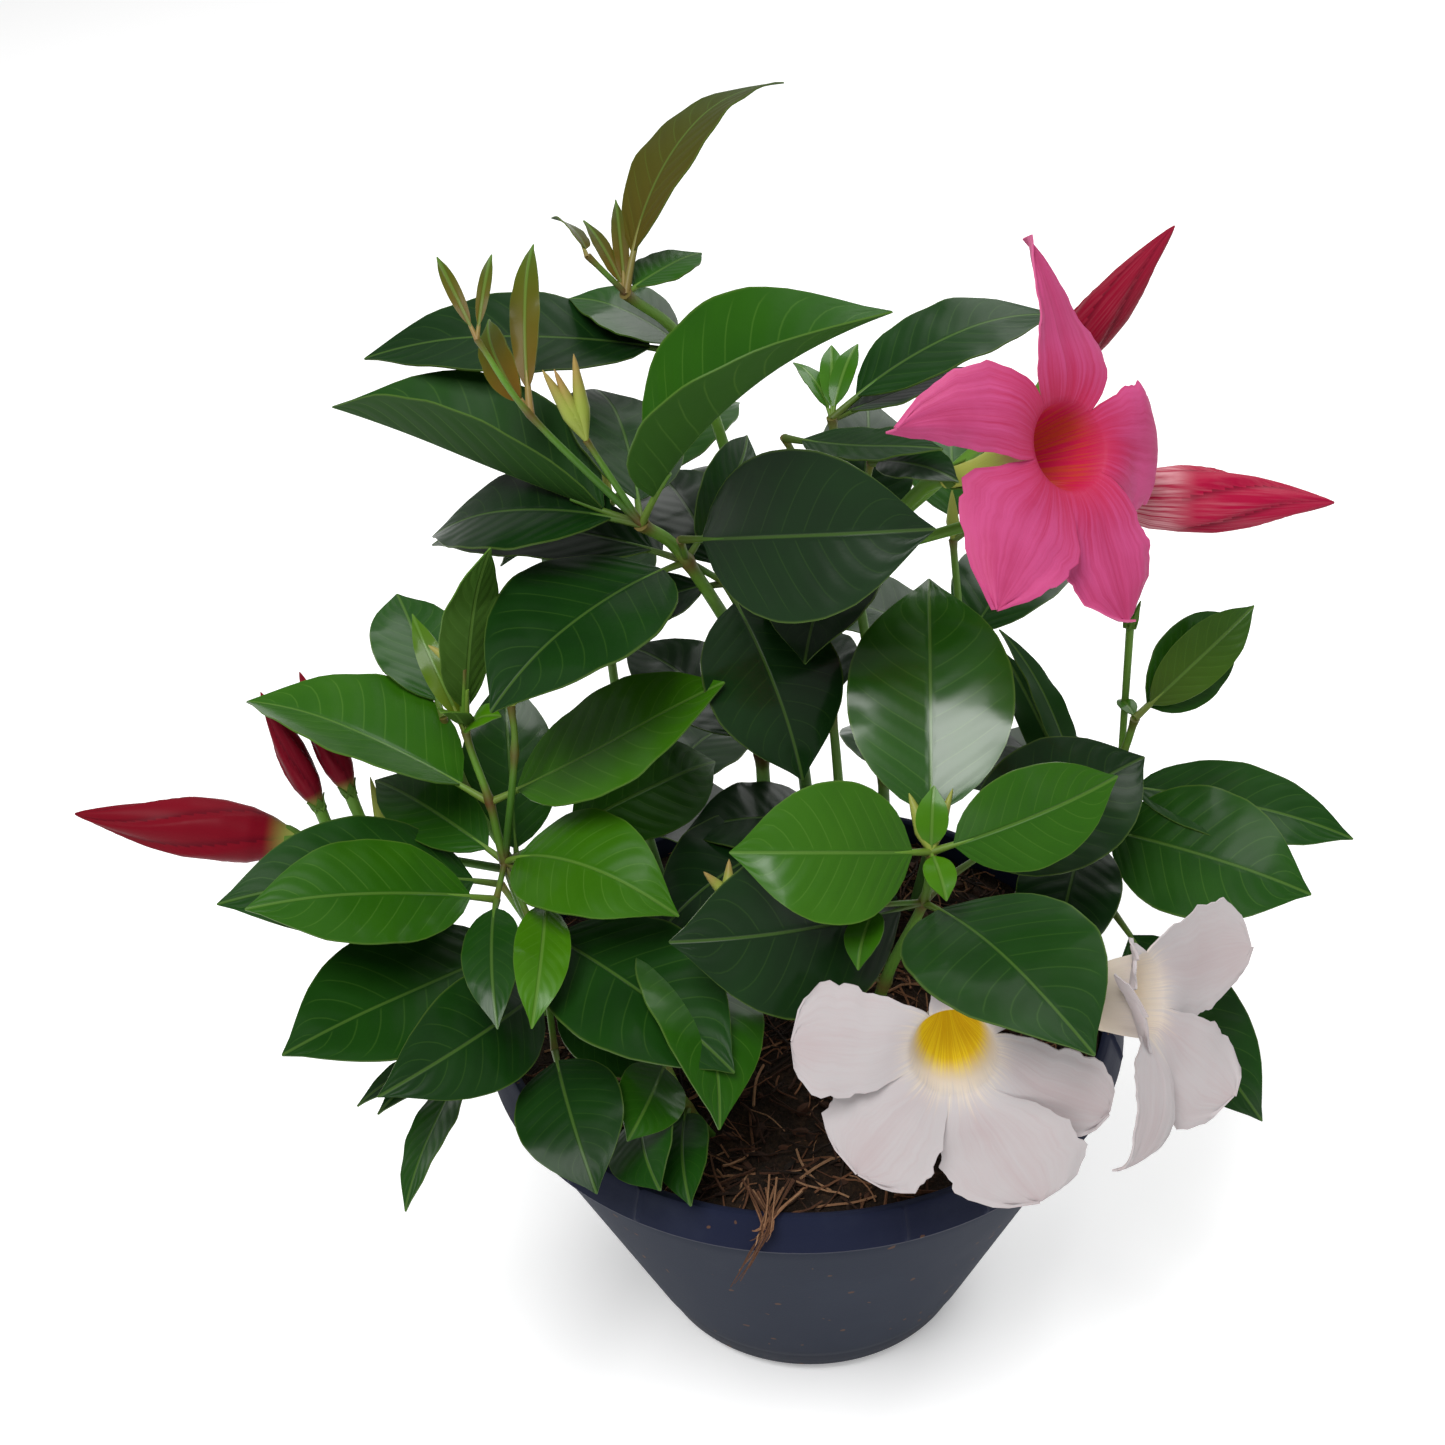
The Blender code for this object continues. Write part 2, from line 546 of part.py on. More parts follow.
def join(name, solids, finish):
    """Unites the solids into one body and keeps its outer skin alone."""
    first = add_object(name, *solids[0], finish)
    rest = bpy.data.collections.new(name + "_rest")
    bpy.context.scene.collection.children.link(rest)
    for number, (points, faces) in enumerate(solids[1:]):
        piece = add_object(f"{name}_{number}", points, faces)
        bpy.context.scene.collection.objects.unlink(piece)
        rest.objects.link(piece)
    if solids[1:]:
        union = first.modifiers.new("union", "BOOLEAN")
        union.operation = "UNION"
        union.operand_type = "COLLECTION"
        union.collection = rest
        union.solver = "MANIFOLD"
        bpy.context.view_layer.update()
        fused = bpy.data.meshes.new_from_object(
            first.evaluated_get(bpy.context.evaluated_depsgraph_get()))
        first.modifiers.clear()
        first.data = fused
    for piece in list(rest.objects):
        bpy.data.objects.remove(piece, do_unlink=True)
    bpy.data.collections.remove(rest)
    keep_largest(first.data)
    return first


def keep_largest(mesh):
    """Drops loose scraps and sealed hollows, which are the smaller islands of a fused mesh."""
    bm = bmesh.new()
    bm.from_mesh(mesh)
    bmesh.ops.triangulate(bm, faces=bm.faces)
    left, islands = set(bm.verts), []
    while left:
        island, front = set(), [left.pop()]
        while front:
            vert = front.pop()
            island.add(vert)
            for edge in vert.link_edges:
                other = edge.other_vert(vert)
                if other in left:
                    left.discard(other)
                    front.append(other)
        islands.append(island)
    islands.sort(key=len)
    for island in islands[:-1]:
        bmesh.ops.delete(bm, geom=list(island), context="VERTS")
    bm.to_mesh(mesh)
    bm.free()


def turned(name, profile, sides, finish):
    """A closed body turned about +Z from (radius, height) points that start and end on the axis."""
    points, faces, rows = [], [], []
    for radius, height in profile:
        if radius == 0:
            rows.append([len(points)] * sides)
            points.append((0, 0, height))
            continue
        rows.append([len(points) + k for k in range(sides)])
        for k in range(sides):
            a = 2 * math.pi * k / sides
            points.append((radius * math.cos(a), radius * math.sin(a), height))
    for low, high in zip(rows, rows[1:]):
        for k in range(sides):
            ring = [low[k], low[(k + 1) % sides], high[(k + 1) % sides], high[k]]
            faces.append(list(dict.fromkeys(ring)))
    return add_object(name, points, faces, finish)


def body_radius(height):
    """Outer radius of the pot's side below its rim."""
    low, high = FOOT_RADIUS + FOOT_CURVE, RIM_RADIUS - RIM_STEP
    return low + (high - low) * height / (RIM_LOW - RIM_UNDER)


def build_pot():
    outside = [(0, 0), (FOOT_RADIUS, 0), (FOOT_RADIUS + FOOT_ROUND[0], FOOT_ROUND[1]),
               (body_radius(FOOT_HEIGHT), FOOT_HEIGHT), (body_radius(RIM_LOW - RIM_UNDER), RIM_LOW - RIM_UNDER),
               (RIM_RADIUS - EDGE_ROUND, RIM_LOW - LIP),
               (RIM_RADIUS, RIM_LOW), (RIM_RADIUS - RIM_TAPER, POT_HEIGHT - LIP),
               (RIM_RADIUS - RIM_TAPER - LIP, POT_HEIGHT)]
    inside = [(RIM_RADIUS - RIM_WALL, POT_HEIGHT - EDGE_ROUND),
              (RIM_RADIUS - RIM_WALL - EDGE_ROUND, RIM_LOW - RIM_UNDER),
              (body_radius(FLOOR + FLOOR_CURVE) - WALL, FLOOR + FLOOR_CURVE),
              (body_radius(FLOOR) - WALL - FOOT_CURVE, FLOOR), (0, FLOOR)]
    pot = turned("pot", outside + inside, POT_SIDES, material("pot", 0.5))
    pot.data.shade_smooth()
    pot.data.set_sharp_from_angle(angle=math.radians(40))
    for hole in range(DRAIN_HOLES):
        a = 2 * math.pi * hole / DRAIN_HOLES
        x, y = DRAIN_CIRCLE * math.cos(a), DRAIN_CIRCLE * math.sin(a)
        cut(pot, f"drain_{hole}", [(x, y, -FLOOR), (x, y, 2 * FLOOR)], DRAIN_RADIUS, DRAIN_SIDES)


def cut(body, name, path, radius, sides):
    """Takes a rod's shape out of a body."""
    rod = add_object(name, *tube_solid(path, radius, radius, sides))
    rod.hide_render = True
    rod.display_type = "WIRE"
    hole = body.modifiers.new(name, "BOOLEAN")
    hole.operation = "DIFFERENCE"
    hole.object = rod


def build_soil():
    rng = np.random.default_rng(SEED)
    edge = RIM_RADIUS - RIM_WALL - 1.0 - GAP
    points, faces, rows = [(0, 0, SOIL_TOP + SOIL_RELIEF)], [], []
    rows.append([0] * SOIL_SIDES)
    rings = [(edge * (k + 1) / SOIL_RINGS, SOIL_TOP + SOIL_CROWN * (1 - (k + 1) / SOIL_RINGS))
             for k in range(SOIL_RINGS)]
    low = [(body_radius(FLOOR + FLOOR_CURVE) - WALL - GAP, FLOOR + FLOOR_CURVE + GAP),
           (body_radius(FLOOR) - WALL - FOOT_CURVE - GAP, FLOOR + GAP)]
    for number, (radius, height) in enumerate(rings + low):
        rows.append([len(points) + k for k in range(SOIL_SIDES)])
        for k in range(SOIL_SIDES):
            a = 2 * math.pi * (k + 0.5 * (number % 2) * (number < SOIL_RINGS)) / SOIL_SIDES
            rough = rng.uniform(-SOIL_RELIEF, SOIL_RELIEF) if number < SOIL_RINGS - 1 else 0.0
            points.append((radius * math.cos(a), radius * math.sin(a), height + rough))
    rows.append([len(points)] * SOIL_SIDES)
    points.append((0, 0, FLOOR + GAP))
    for high, below in zip(rows, rows[1:]):
        for k in range(SOIL_SIDES):
            n = (k + 1) % SOIL_SIDES
            for face in ((high[k], below[k], below[n]), (high[k], below[n], high[n])):
                if len(set(face)) == 3:
                    faces.append(face)
    soil = add_object("soil", points, faces, material("soil", 1.0))
    for name, shoot in SHOOTS.items():
        route, radius, _ = shoot["stems"][0]
        first, second = smooth_path([shoot["nodes"][key] for key in route], STEM_STEP)[:2]
        ahead = unit(second - first)
        top = first + ahead * (POT_HEIGHT - first[2]) / ahead[2]
        cut(soil, name + "_hole", [first - ahead * GAP, top],
            (radius + GAP) / math.cos(math.pi / HOLE_SIDES), HOLE_SIDES)


def build_shoot(name, shoot):
    nodes = {key: np.array(place, float) for key, place in shoot["nodes"].items()}
    solids = []
    for route, first, last in shoot["stems"]:
        solids.append(tube_solid(smooth_path([nodes[key] for key in route], STEM_STEP),
                                 first, last, STEM_SIDES))
    for node, *leaf in shoot["leaves"]:
        solids.append(leaf_solid(nodes[node], *leaf))
    for node, heading, rise, length, radius in shoot["sprigs"]:
        ahead = direction(heading, rise)
        solids.append(spindle_solid(nodes[node], nodes[node] + ahead * length, radius,
                                    SPRIG_SHAPE, SPRIG_SIDES, 0, 0.0))
    for bloom in BLOOMS.values():
        if bloom["shoot"] == name:
            ahead = direction(bloom["heading"], bloom["rise"])
            end = np.array(bloom["throat"], float) - ahead * FUNNEL[-1][0]
            path = stalk_path(nodes[bloom["node"]], end, ahead)
            solids.append(tube_solid(path, *BLOOM_STALK, STEM_SIDES))
    for bud in BUDS.values():
        if bud["shoot"] == name:
            base, tip = np.array(bud["base"], float), np.array(bud["tip"], float)
            path = stalk_path(nodes[bud["node"]], base, unit(tip - base))
            solids.append(tube_solid(path, *BUD_STALK, STEM_SIDES))
    for owner, node, end in BARE_STALKS:
        if owner == name:
            solids.append(tube_solid(smooth_path([nodes[node], np.array(end, float)], STEM_STEP),
                                     *BARE_STALK, STEM_SIDES))
    join(name, solids, material("shoot", 0.35))


def main():
    clear_scene()
    build_pot()
    build_soil()
    for name, shoot in SHOOTS.items():
        build_shoot(name, shoot)
    for name, bloom in BLOOMS.items():
        points, faces = bloom_solid(bloom)
        colour = "bloom_pink" if "pink" in name else "bloom_white"
        add_object(name, points, faces, material(colour, 0.5)).data.shade_smooth()
    for name, bud in BUDS.items():
        points, faces = spindle_solid(bud["base"], bud["tip"], bud["radius"], BUD_SHAPE,
                                      BUD_SIDES, bud["turn"], BUD_RIDGE)
        add_object(name, points, faces, material("bud", 0.45)).data.shade_smooth()


main()
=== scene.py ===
# Potted mandevilla: finer leaves, blooms, buds, stems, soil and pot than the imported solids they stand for.
# Places and sizes are in millimetres until they reach a mesh. The pot stands on the origin, +X is to
# the right and +Y to the back.

from math import cos, pi, radians, sin, sqrt, tan

import bpy
import numpy as np
from mathutils import Matrix


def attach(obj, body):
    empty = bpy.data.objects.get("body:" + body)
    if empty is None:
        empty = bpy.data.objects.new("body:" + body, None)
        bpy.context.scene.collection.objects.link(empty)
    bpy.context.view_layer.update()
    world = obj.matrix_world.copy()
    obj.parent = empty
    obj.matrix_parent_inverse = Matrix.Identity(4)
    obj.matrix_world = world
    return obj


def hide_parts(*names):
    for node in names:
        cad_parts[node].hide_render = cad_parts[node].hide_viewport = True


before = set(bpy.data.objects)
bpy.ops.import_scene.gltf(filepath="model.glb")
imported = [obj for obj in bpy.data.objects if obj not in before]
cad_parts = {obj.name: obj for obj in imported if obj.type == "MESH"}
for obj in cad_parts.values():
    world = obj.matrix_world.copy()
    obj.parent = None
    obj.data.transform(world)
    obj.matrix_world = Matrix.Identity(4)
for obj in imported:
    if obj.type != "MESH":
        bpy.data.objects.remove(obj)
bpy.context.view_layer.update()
mm = 0.001


# Shader helpers: a socket that can be used in sums, and a finish that holds one material's nodes

class Sock:
    def __init__(self, finish, link):
        self.finish, self.link = finish, link

    def __add__(self, other):
        return self.finish.maths("ADD", self, other)

    def __sub__(self, other):
        return self.finish.maths("SUBTRACT", self, other)

    def __rsub__(self, other):
        return self.finish.maths("SUBTRACT", other, self)

    def __mul__(self, other):
        return self.finish.maths("MULTIPLY", self, other)

    __radd__, __rmul__ = __add__, __mul__  # a sum or product is the same either way round

    def __abs__(self):
        return self.finish.maths("ABSOLUTE", self)

    def part(self):  # what is left after whole numbers are taken off
        return self.finish.maths("FRACT", self)

    def step(self, low, high):  # 0 below low, 1 above high and smooth between
        return self.finish.node("ShaderNodeMapRange", dict(interpolation_type="SMOOTHSTEP"),
                                {0: self, 1: low, 2: high})


class Finish:
    def __init__(self, name, **fixed):
        self.material = bpy.data.materials.new(name)
        self.material.use_nodes = True
        self.tree = self.material.node_tree
        self.shader = self.tree.nodes["Principled BSDF"]
        for socket, value in fixed.items():
            self.shader.inputs[socket.replace("_", " ")].default_value = value

    def node(self, kind, settings, inputs, output=0):
        made = self.tree.nodes.new(kind)
        for key, value in settings.items():
            if key == "stops":
                while len(made.color_ramp.elements) < len(value):
                    made.color_ramp.elements.new(0.5)
                for stop, (place, colour) in zip(made.color_ramp.elements, value):
                    stop.position, stop.color = place, (*colour, 1)
            else:
                setattr(made, key, value)
        for key, value in inputs.items():
            self.feed(made.inputs[key], value)
        return Sock(self, made.outputs[output])

    def feed(self, socket, value):
        if isinstance(value, Sock):
            self.tree.links.new(value.link, socket)
        elif isinstance(value, tuple) and len(value) == 3 and len(socket.default_value) == 4:
            socket.default_value = (*value, 1)
        else:
            socket.default_value = value

    def maths(self, operation, *values):
        return self.node("ShaderNodeMath", dict(operation=operation), dict(enumerate(values)))

    def read(self, *names):
        return [self.node("ShaderNodeAttribute", dict(attribute_name=name), {}, "Fac") for name in names]

    def place(self):
        return self.node("ShaderNodeTexCoord", {}, {}, "Object")

    def blend(self, share, first, second):
        return self.node("ShaderNodeMix", dict(data_type="RGBA"), {0: share, 6: first, 7: second}, 2)

    def ramp(self, value, *stops):
        return self.node("ShaderNodeValToRGB", dict(stops=stops), {0: value})

    def noise(self, vector, scale, detail=3.0, rough=0.5):
        return self.node("ShaderNodeTexNoise", {}, {"Vector": vector, "Scale": scale, "Detail": detail,
                                                    "Roughness": rough})

    def vector(self, x, y, z):
        return self.node("ShaderNodeCombineXYZ", {}, {0: x, 1: y, 2: z})

    def height(self, vector):
        return self.node("ShaderNodeSeparateXYZ", {}, {0: vector}, 2)

    def bump(self, height, strength, depth):
        self.give(Normal=self.node("ShaderNodeBump", {}, {"Strength": strength, "Distance": depth,
                                                          "Height": height}))

    def give(self, **sockets):
        for socket, value in sockets.items():
            self.feed(self.shader.inputs[socket.replace("_", " ")], value)


# Finishes

leafLook = dict(
    greens=((0.0, (0.003, 0.012, 0.003)), (0.15, (0.004, 0.023, 0.003)), (0.32, (0.008, 0.047, 0.003)),
            (0.5, (0.017, 0.082, 0.002)), (0.7, (0.032, 0.120, 0.002)), (0.86, (0.054, 0.175, 0.002)),
            (1.0, (0.095, 0.24, 0.004))),
    young=(0.115, 0.055, 0.005), underside=(0.040, 0.090, 0.018), margin=(0.12, 0.2, 0.03),
    rib=(0.10, 0.2, 0.03), ribWidth=(0.2, 0.58), vein=(0.10, 0.22, 0.03), veinWidth=0.11, pairs=10.0,
    pairShift=0.4, veinLean=(0.15, 0.07), veinWander=0.012, mottle=0.16, grain=900.0, gloss=0.8,
)


def leafFinish():
    look = leafLook
    made = Finish("leaf", Coat_Roughness=0.16, Specular_IOR_Level=0.1, Coat_IOR=1.4)
    along, across, tone, olive, under, shine, seed, reach, veins = made.read(*Heap.marks)
    side = abs(across)
    spot = made.place()
    cloud = made.noise(spot, 70.0)
    speck = made.noise(spot, look["grain"], 2.0)
    first, second = look["veinLean"]
    row = (along - side * first - side * side * second + cloud * look["veinWander"]) * look["pairs"] + seed
    line = abs((row + across.step(-0.01, 0.01) * look["pairShift"]).part() - 0.5) * 2
    spread = reach.step(0.4, 1.6) * (1 - side.step(0.72, 0.97)) * veins  # no veins on the rib or the edge
    vein = line.step(1 - look["veinWidth"], 1.0) * spread
    rib = 1 - reach.step(*look["ribWidth"])
    colour = made.ramp(tone + (cloud - 0.5) * look["mottle"] + side * 0.03 - 0.02, *look["greens"])
    colour = made.blend(olive, colour, look["young"])
    colour = made.blend(vein * (0.02 + tone * 0.45), colour, look["vein"])
    colour = made.blend(rib * (0.24 + tone * 0.5), colour, look["rib"])
    colour = made.blend(side.step(0.965, 1.0) * 0.35, colour, look["margin"])
    pale = made.blend(rib * 0.5 + vein * 0.2, made.blend(tone, colour, look["underside"]), look["rib"])
    colour = made.blend(under * 0.8, colour, pale)
    made.give(Base_Color=colour, Roughness=0.5 - shine * 0.22 + under * 0.2 + cloud * 0.06,
              Coat_Weight=shine * shine * look["gloss"] * (1 - under))
    quilt = line * line * (3 - line * 2) * spread
    made.bump(speck * 0.07 + cloud * 0.5 - rib * 0.5 - quilt * 0.4, 0.6, 0.0005)
    return made.material


# In each look, wall is the colour of the throat's side in painted shade, glow its lit side, and
# throatShadeShare how much of the painted shade shows.
petalLook = dict(
    pink=dict(light=(0.45, 0.058, 0.178), deep=(0.35, 0.028, 0.10), heart=(0.36, 0.008, 0.045),
              glow=(0.62, 0.42, 0.03), wall=(0.36, 0.006, 0.045), line=(0.34, 0.04, 0.01),
              back=(0.66, 0.24, 0.36), tube=(0.36, 0.38, 0.07), heartReach=0.42, throatShadeShare=1.0,
              inner=(-0.1, 0.1), lines=0.75),
    white=dict(light=(0.425, 0.392, 0.396), deep=(0.40, 0.335, 0.34), heart=(0.56, 0.49, 0.40),
               glow=(0.66, 0.53, 0.02), wall=(0.62, 0.42, 0.02), line=(0.45, 0.24, 0.005),
               back=(0.50, 0.41, 0.41), tube=(0.58, 0.50, 0.36), heartReach=0.16, throatShadeShare=0.25,
               inner=(-0.3, -0.05), lines=0.45),
)


def petalFinish(kind):  # glow is the lit side of the throat and wall its side in painted shade, and line is its streaks
    look = petalLook[kind]
    # The petals glow with painted light: a weak emission of their own colour that stands in for light shining
    # through them.
    made = Finish("petal_" + kind, Emission_Strength=0.3, Subsurface_Weight=0.1,
                  Subsurface_Radius=(0.002, 0.001, 0.001), Specular_IOR_Level=0.2)
    along, across, under, seed, turn = made.read("along", "across", "under", "seed", "tone")
    ray = made.noise(made.vector(across * 11 + seed * 7, along * 1.1, seed * 31), 1.0, 4.0, 0.65)
    cloud = made.noise(made.place(), 55.0)
    light = (ray * 0.8 + cloud * 0.8 - 0.3 + abs(across) * 0.25).step(0.25, 0.85)
    colour = made.blend(light, look["deep"], look["light"])
    heart = 1 - (along * 0.8 + ray * 0.5 - 0.12).step(0.05, look["heartReach"] + 0.1)
    colour = made.blend(heart * 0.85, colour, look["heart"])
    # painted shade: the wall colour darkens the side of the throat turned one way and nearer the mouth, while
    # glow keeps the lit side
    wall = (turn * 0.6 + along * 0.8 + ray * 0.6 + 0.4).step(0.35, 0.75) * look["throatShadeShare"]
    throatLitAndShaded = made.blend(wall, look["glow"], look["wall"])
    throatLitAndShaded = made.blend((ray + abs(across) * 0.1).step(0.50, 0.60) * look["lines"], throatLitAndShaded, look["line"])
    inner = (1 - (along + ray * 0.1).step(*look["inner"])) * (1 - under)
    colour = made.blend(inner, colour, throatLitAndShaded)
    back = made.blend(cloud * 0.6, colour, look["back"])
    colour = made.blend(under, colour, made.blend(1 - along.step(-0.5, 0.1), back, look["tube"]))
    # painted glow: emission of the petal colour at full strength on the inner face inside the funnel, and at
    # about a third of it elsewhere
    paintedGlow = (1 - along.step(-0.3, 0.3)) * (1 - under) * 0.7 + 0.3
    made.give(Base_Color=colour, Roughness=0.55 + cloud * 0.15,
              Emission_Color=made.blend(paintedGlow, (0.0, 0.0, 0.0), colour))
    made.bump(ray * 0.9 + made.noise(made.place(), 1400.0, 2.0) * 0.12, 0.3, 0.0004)
    return made.material


# furrow is painted shade for the hollows between the furled petals.
budLook = dict(maroon=(0.15, 0.003, 0.010), pink=(0.33, 0.005, 0.038), furrowShade=(0.05, 0.002, 0.007),
               base=(0.24, 0.27, 0.06), pale=(0.58, 0.26, 0.29), tip=(0.30, 0.01, 0.04))


def budFinish():  # across is the place in a petal's fold, and olive the turn about the bud
    look = budLook
    made = Finish("bud", Coat_Roughness=0.3, Coat_Weight=0.02, Specular_IOR_Level=0.05)
    along, ridge, tone, seed, turn = made.read("along", "across", "tone", "seed", "olive")
    streak = made.noise(made.vector(turn * 9, along * 1.6, seed * 17), 1.5, 4.0, 0.65)
    colour = made.blend(tone, look["maroon"], look["pink"])
    colour = made.blend((streak - 0.3).step(0.1, 0.5) * tone * 0.32, colour, look["pale"])
    # painted shade: the hollow where each petal steps down to the next is darkened with the furrow colour
    colour = made.blend((1 - ridge.step(0.0, 0.3)) * 0.55, colour, look["furrowShade"])
    colour = made.blend(along.step(0.6, 0.95) * 0.5 * tone, colour, look["tip"])
    tube = (1 - along.step(0.27, 0.42)) * tone.step(0.5, 0.7)
    colour = made.blend(tube, colour, made.blend(streak.step(0.35, 0.65), look["pale"], look["pink"]))
    colour = made.blend(1 - along.step(0.02, 0.16), colour, look["base"])
    made.give(Base_Color=colour, Roughness=0.42 + streak * 0.15)
    made.bump(streak * 0.5 + ridge * 0.3, 0.3, 0.0004)
    return made.material


stemLook = dict(greens=((0.0, (0.016, 0.035, 0.010)), (0.45, (0.045, 0.13, 0.012)),
                        (1.0, (0.12, 0.26, 0.025))),
                node=(0.10, 0.03, 0.012), tip=(0.36, 0.11, 0.07), cream=(0.27, 0.31, 0.05))


def stemFinish():  # across is how near a node is, olive how red and shine how cream
    look = stemLook
    made = Finish("stem", Specular_IOR_Level=0.3)
    tone, olive, node, cream = made.read("tone", "olive", "across", "shine")
    spot = made.place()
    cloud = made.noise(spot, 120.0)
    fine = made.noise(spot, 1500.0, 2.0)
    colour = made.ramp(tone + (cloud - 0.5) * 0.25, *look["greens"])
    colour = made.blend(node * (0.35 + cloud * 0.8), colour, look["node"])
    colour = made.blend(cream * (0.6 + cloud * 0.5), colour, look["cream"])
    colour = made.blend(olive, colour, look["tip"])
    made.give(Base_Color=colour, Roughness=0.42 + fine * 0.15)
    made.bump(cloud * 0.5 + fine * 0.3, 0.3, 0.0003)
    return made.material


potLook = dict(body=(0.016, 0.021, 0.036), band=(0.011, 0.014, 0.033), foot=(0.018, 0.021, 0.032),
               dust=(0.036, 0.044, 0.062), fleck=(0.12, 0.06, 0.03), bandFrom=(0.0955, 0.0985),
               footTo=(0.010, 0.022))


def potFinish():
    look = potLook
    made = Finish("pot", Specular_IOR_Level=0.05)
    spot = made.place()
    high = made.height(spot)
    cloud = made.noise(spot, 25.0, 5.0, 0.6)
    fine = made.noise(spot, 1800.0, 2.0)
    band = high.step(*look["bandFrom"])
    colour = made.blend(band, look["body"], look["band"])
    colour = made.blend((1 - high.step(*look["footTo"])) * 0.8, colour, look["foot"])
    colour = made.blend(cloud.step(0.42, 0.8) * 0.4, colour, look["dust"])
    colour = made.blend(made.noise(spot, 260.0, 1.0).step(0.735, 0.76) * 0.7, colour, look["fleck"])
    made.give(Base_Color=colour, Roughness=0.5 + cloud * 0.18 - band * 0.1)
    made.bump(fine * 0.5 + cloud * 0.5, 0.25, 0.0003)
    return made.material


soilLook = dict(
    bed=((0.3, (0.004, 0.003, 0.002)), (0.5, (0.016, 0.009, 0.005)), (0.72, (0.05, 0.026, 0.013))),
    fibre=((0.0, (0.008, 0.005, 0.003)), (0.4, (0.05, 0.02, 0.01)), (0.75, (0.17, 0.075, 0.035)),
           (1.0, (0.30, 0.17, 0.09))),
)


def soilFinish():
    made = Finish("soil", Specular_IOR_Level=0.2)
    spot = made.place()
    lump = made.noise(spot, 220.0, 5.0, 0.65)
    fine = made.noise(spot, 900.0, 3.0, 0.6)
    made.give(Base_Color=made.ramp(lump * 0.6 + fine * 0.4, *soilLook["bed"]), Roughness=0.9 + fine * 0.1)
    made.bump(lump + fine * 0.6, 0.9, 0.002)
    return made.material


def fibreFinish():
    made = Finish("fibre", Specular_IOR_Level=0.25)
    tone, = made.read("tone")
    grain = made.noise(made.place(), 1200.0, 3.0, 0.6)
    made.give(Base_Color=made.ramp(tone + (grain - 0.5) * 0.3, *soilLook["fibre"]),
              Roughness=0.75 + grain * 0.2)
    made.bump(grain, 0.5, 0.0004)
    return made.material


# Meshes: parts are gathered in a heap and made into one piece

def unit(v):
    return v / np.linalg.norm(v)


def swing(turns):
    return np.sin(2 * pi * turns)


def circle(count):
    return 2 * pi * np.arange(count) / count


def spokes(turns, side, other):
    return np.outer(np.cos(turns), side) + np.outer(np.sin(turns), other)


def ring(radius, turns, height):
    return np.stack([radius * np.cos(turns), radius * np.sin(turns), np.full(len(turns), float(height))], 1)


def direction(heading, rise):
    h, r = radians(heading), radians(rise)
    return np.array([cos(r) * cos(h), cos(r) * sin(h), sin(r)])


def ease(x):
    x = np.clip(x, 0, 1)
    return x * x * (3 - 2 * x)


def link(name, data):
    made = bpy.data.objects.new(name, data)
    bpy.context.scene.collection.objects.link(made)
    return made


class Heap:  # marks are what the finishes read at each point
    marks = ("along", "across", "tone", "olive", "under", "shine", "seed", "reach", "veins")

    def __init__(self):
        self.points, self.faces, self.values, self.count = [], [], {m: [] for m in self.marks}, 0

    def add(self, points, faces, **values):
        points = np.asarray(points, float).reshape(-1, 3)
        self.points.append(points)
        self.faces += [[i + self.count for i in face] for face in faces]
        for mark in self.marks:
            self.values[mark].append(np.broadcast_to(np.asarray(values.get(mark, 0.0), float), len(points)))
        self.count += len(points)

    def sheet(self, points, faces, thickness, **values):  # a closed sheet, half its thickness on each side
        points, faces = np.asarray(points, float).reshape(-1, 3), np.asarray(faces)
        corner = points[faces]
        lean = np.cross(corner[:, 2] - corner[:, 0], corner[:, 3] - corner[:, 1])
        normal = np.zeros_like(points)
        for k in range(4):
            np.add.at(normal, faces[:, k], lean)
        normal /= np.linalg.norm(normal, axis=1)[:, None] + 1e-12
        n = len(points)
        depth = np.broadcast_to(np.asarray(thickness, float), n)[:, None] / 2
        both = np.vstack([points + normal * depth, points - normal * depth])
        quads = faces.tolist() + (faces[:, ::-1] + n).tolist()
        edges = {(f[k], f[(k + 1) % 4]) for f in faces.tolist() for k in range(4)}
        quads += [(b, a, a + n, b + n) for a, b in edges if (b, a) not in edges]
        values = {k: np.tile(np.broadcast_to(np.asarray(v, float), n), 2) for k, v in values.items()}
        values["under"] = np.repeat([0.0, 1.0], n)
        self.add(both, quads, **values)

    def piece(self, name, finish, nodes, slot, crease=50):
        mesh = bpy.data.meshes.new(name)
        mesh.from_pydata((np.vstack(self.points) * mm).tolist(), [], self.faces)
        for mark in self.marks:
            data = np.concatenate(self.values[mark]).astype(np.float32)
            mesh.attributes.new(mark, "FLOAT", "POINT").data.foreach_set("value", data)
        mesh.materials.append(finish)
        mesh.shade_smooth()
        mesh.set_sharp_from_angle(angle=radians(crease))
        made = link(name, mesh)
        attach(made, "root")
        if nodes:
            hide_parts(*nodes)


def gridFaces(rows, columns, first=0, wrap=False):
    faces = []
    for r in range(rows - 1):
        for c in range(columns if wrap else columns - 1):
            d = (c + 1) % columns
            faces.append((first + r * columns + c, first + r * columns + d,
                          first + (r + 1) * columns + d, first + (r + 1) * columns + c))
    return faces


def tubeFaces(rows, sides):  # the two points after the grid close its ends
    faces, end = gridFaces(rows, sides, wrap=True), rows * sides
    for k in range(sides):
        faces += [(end, (k + 1) % sides, k), (end + 1, end - sides + k, end - sides + (k + 1) % sides)]
    return faces


def smoothPath(knots, step):
    knots = [np.array(k, float) for k in knots]
    ends = [2 * knots[0] - knots[1]] + knots + [2 * knots[-1] - knots[-2]]
    path = []
    for k in range(len(knots) - 1):
        p0, p1, p2, p3 = ends[k:k + 4]
        count = max(2, round(np.linalg.norm(p2 - p1) / step))
        for t in np.arange(count) / count:
            path.append(0.5 * (2 * p1 + (p2 - p0) * t + (2 * p0 - 5 * p1 + 4 * p2 - p3) * t ** 2
                               + (3 * p1 - p0 - 3 * p2 + p3) * t ** 3))
    return np.array(path + [knots[-1]])


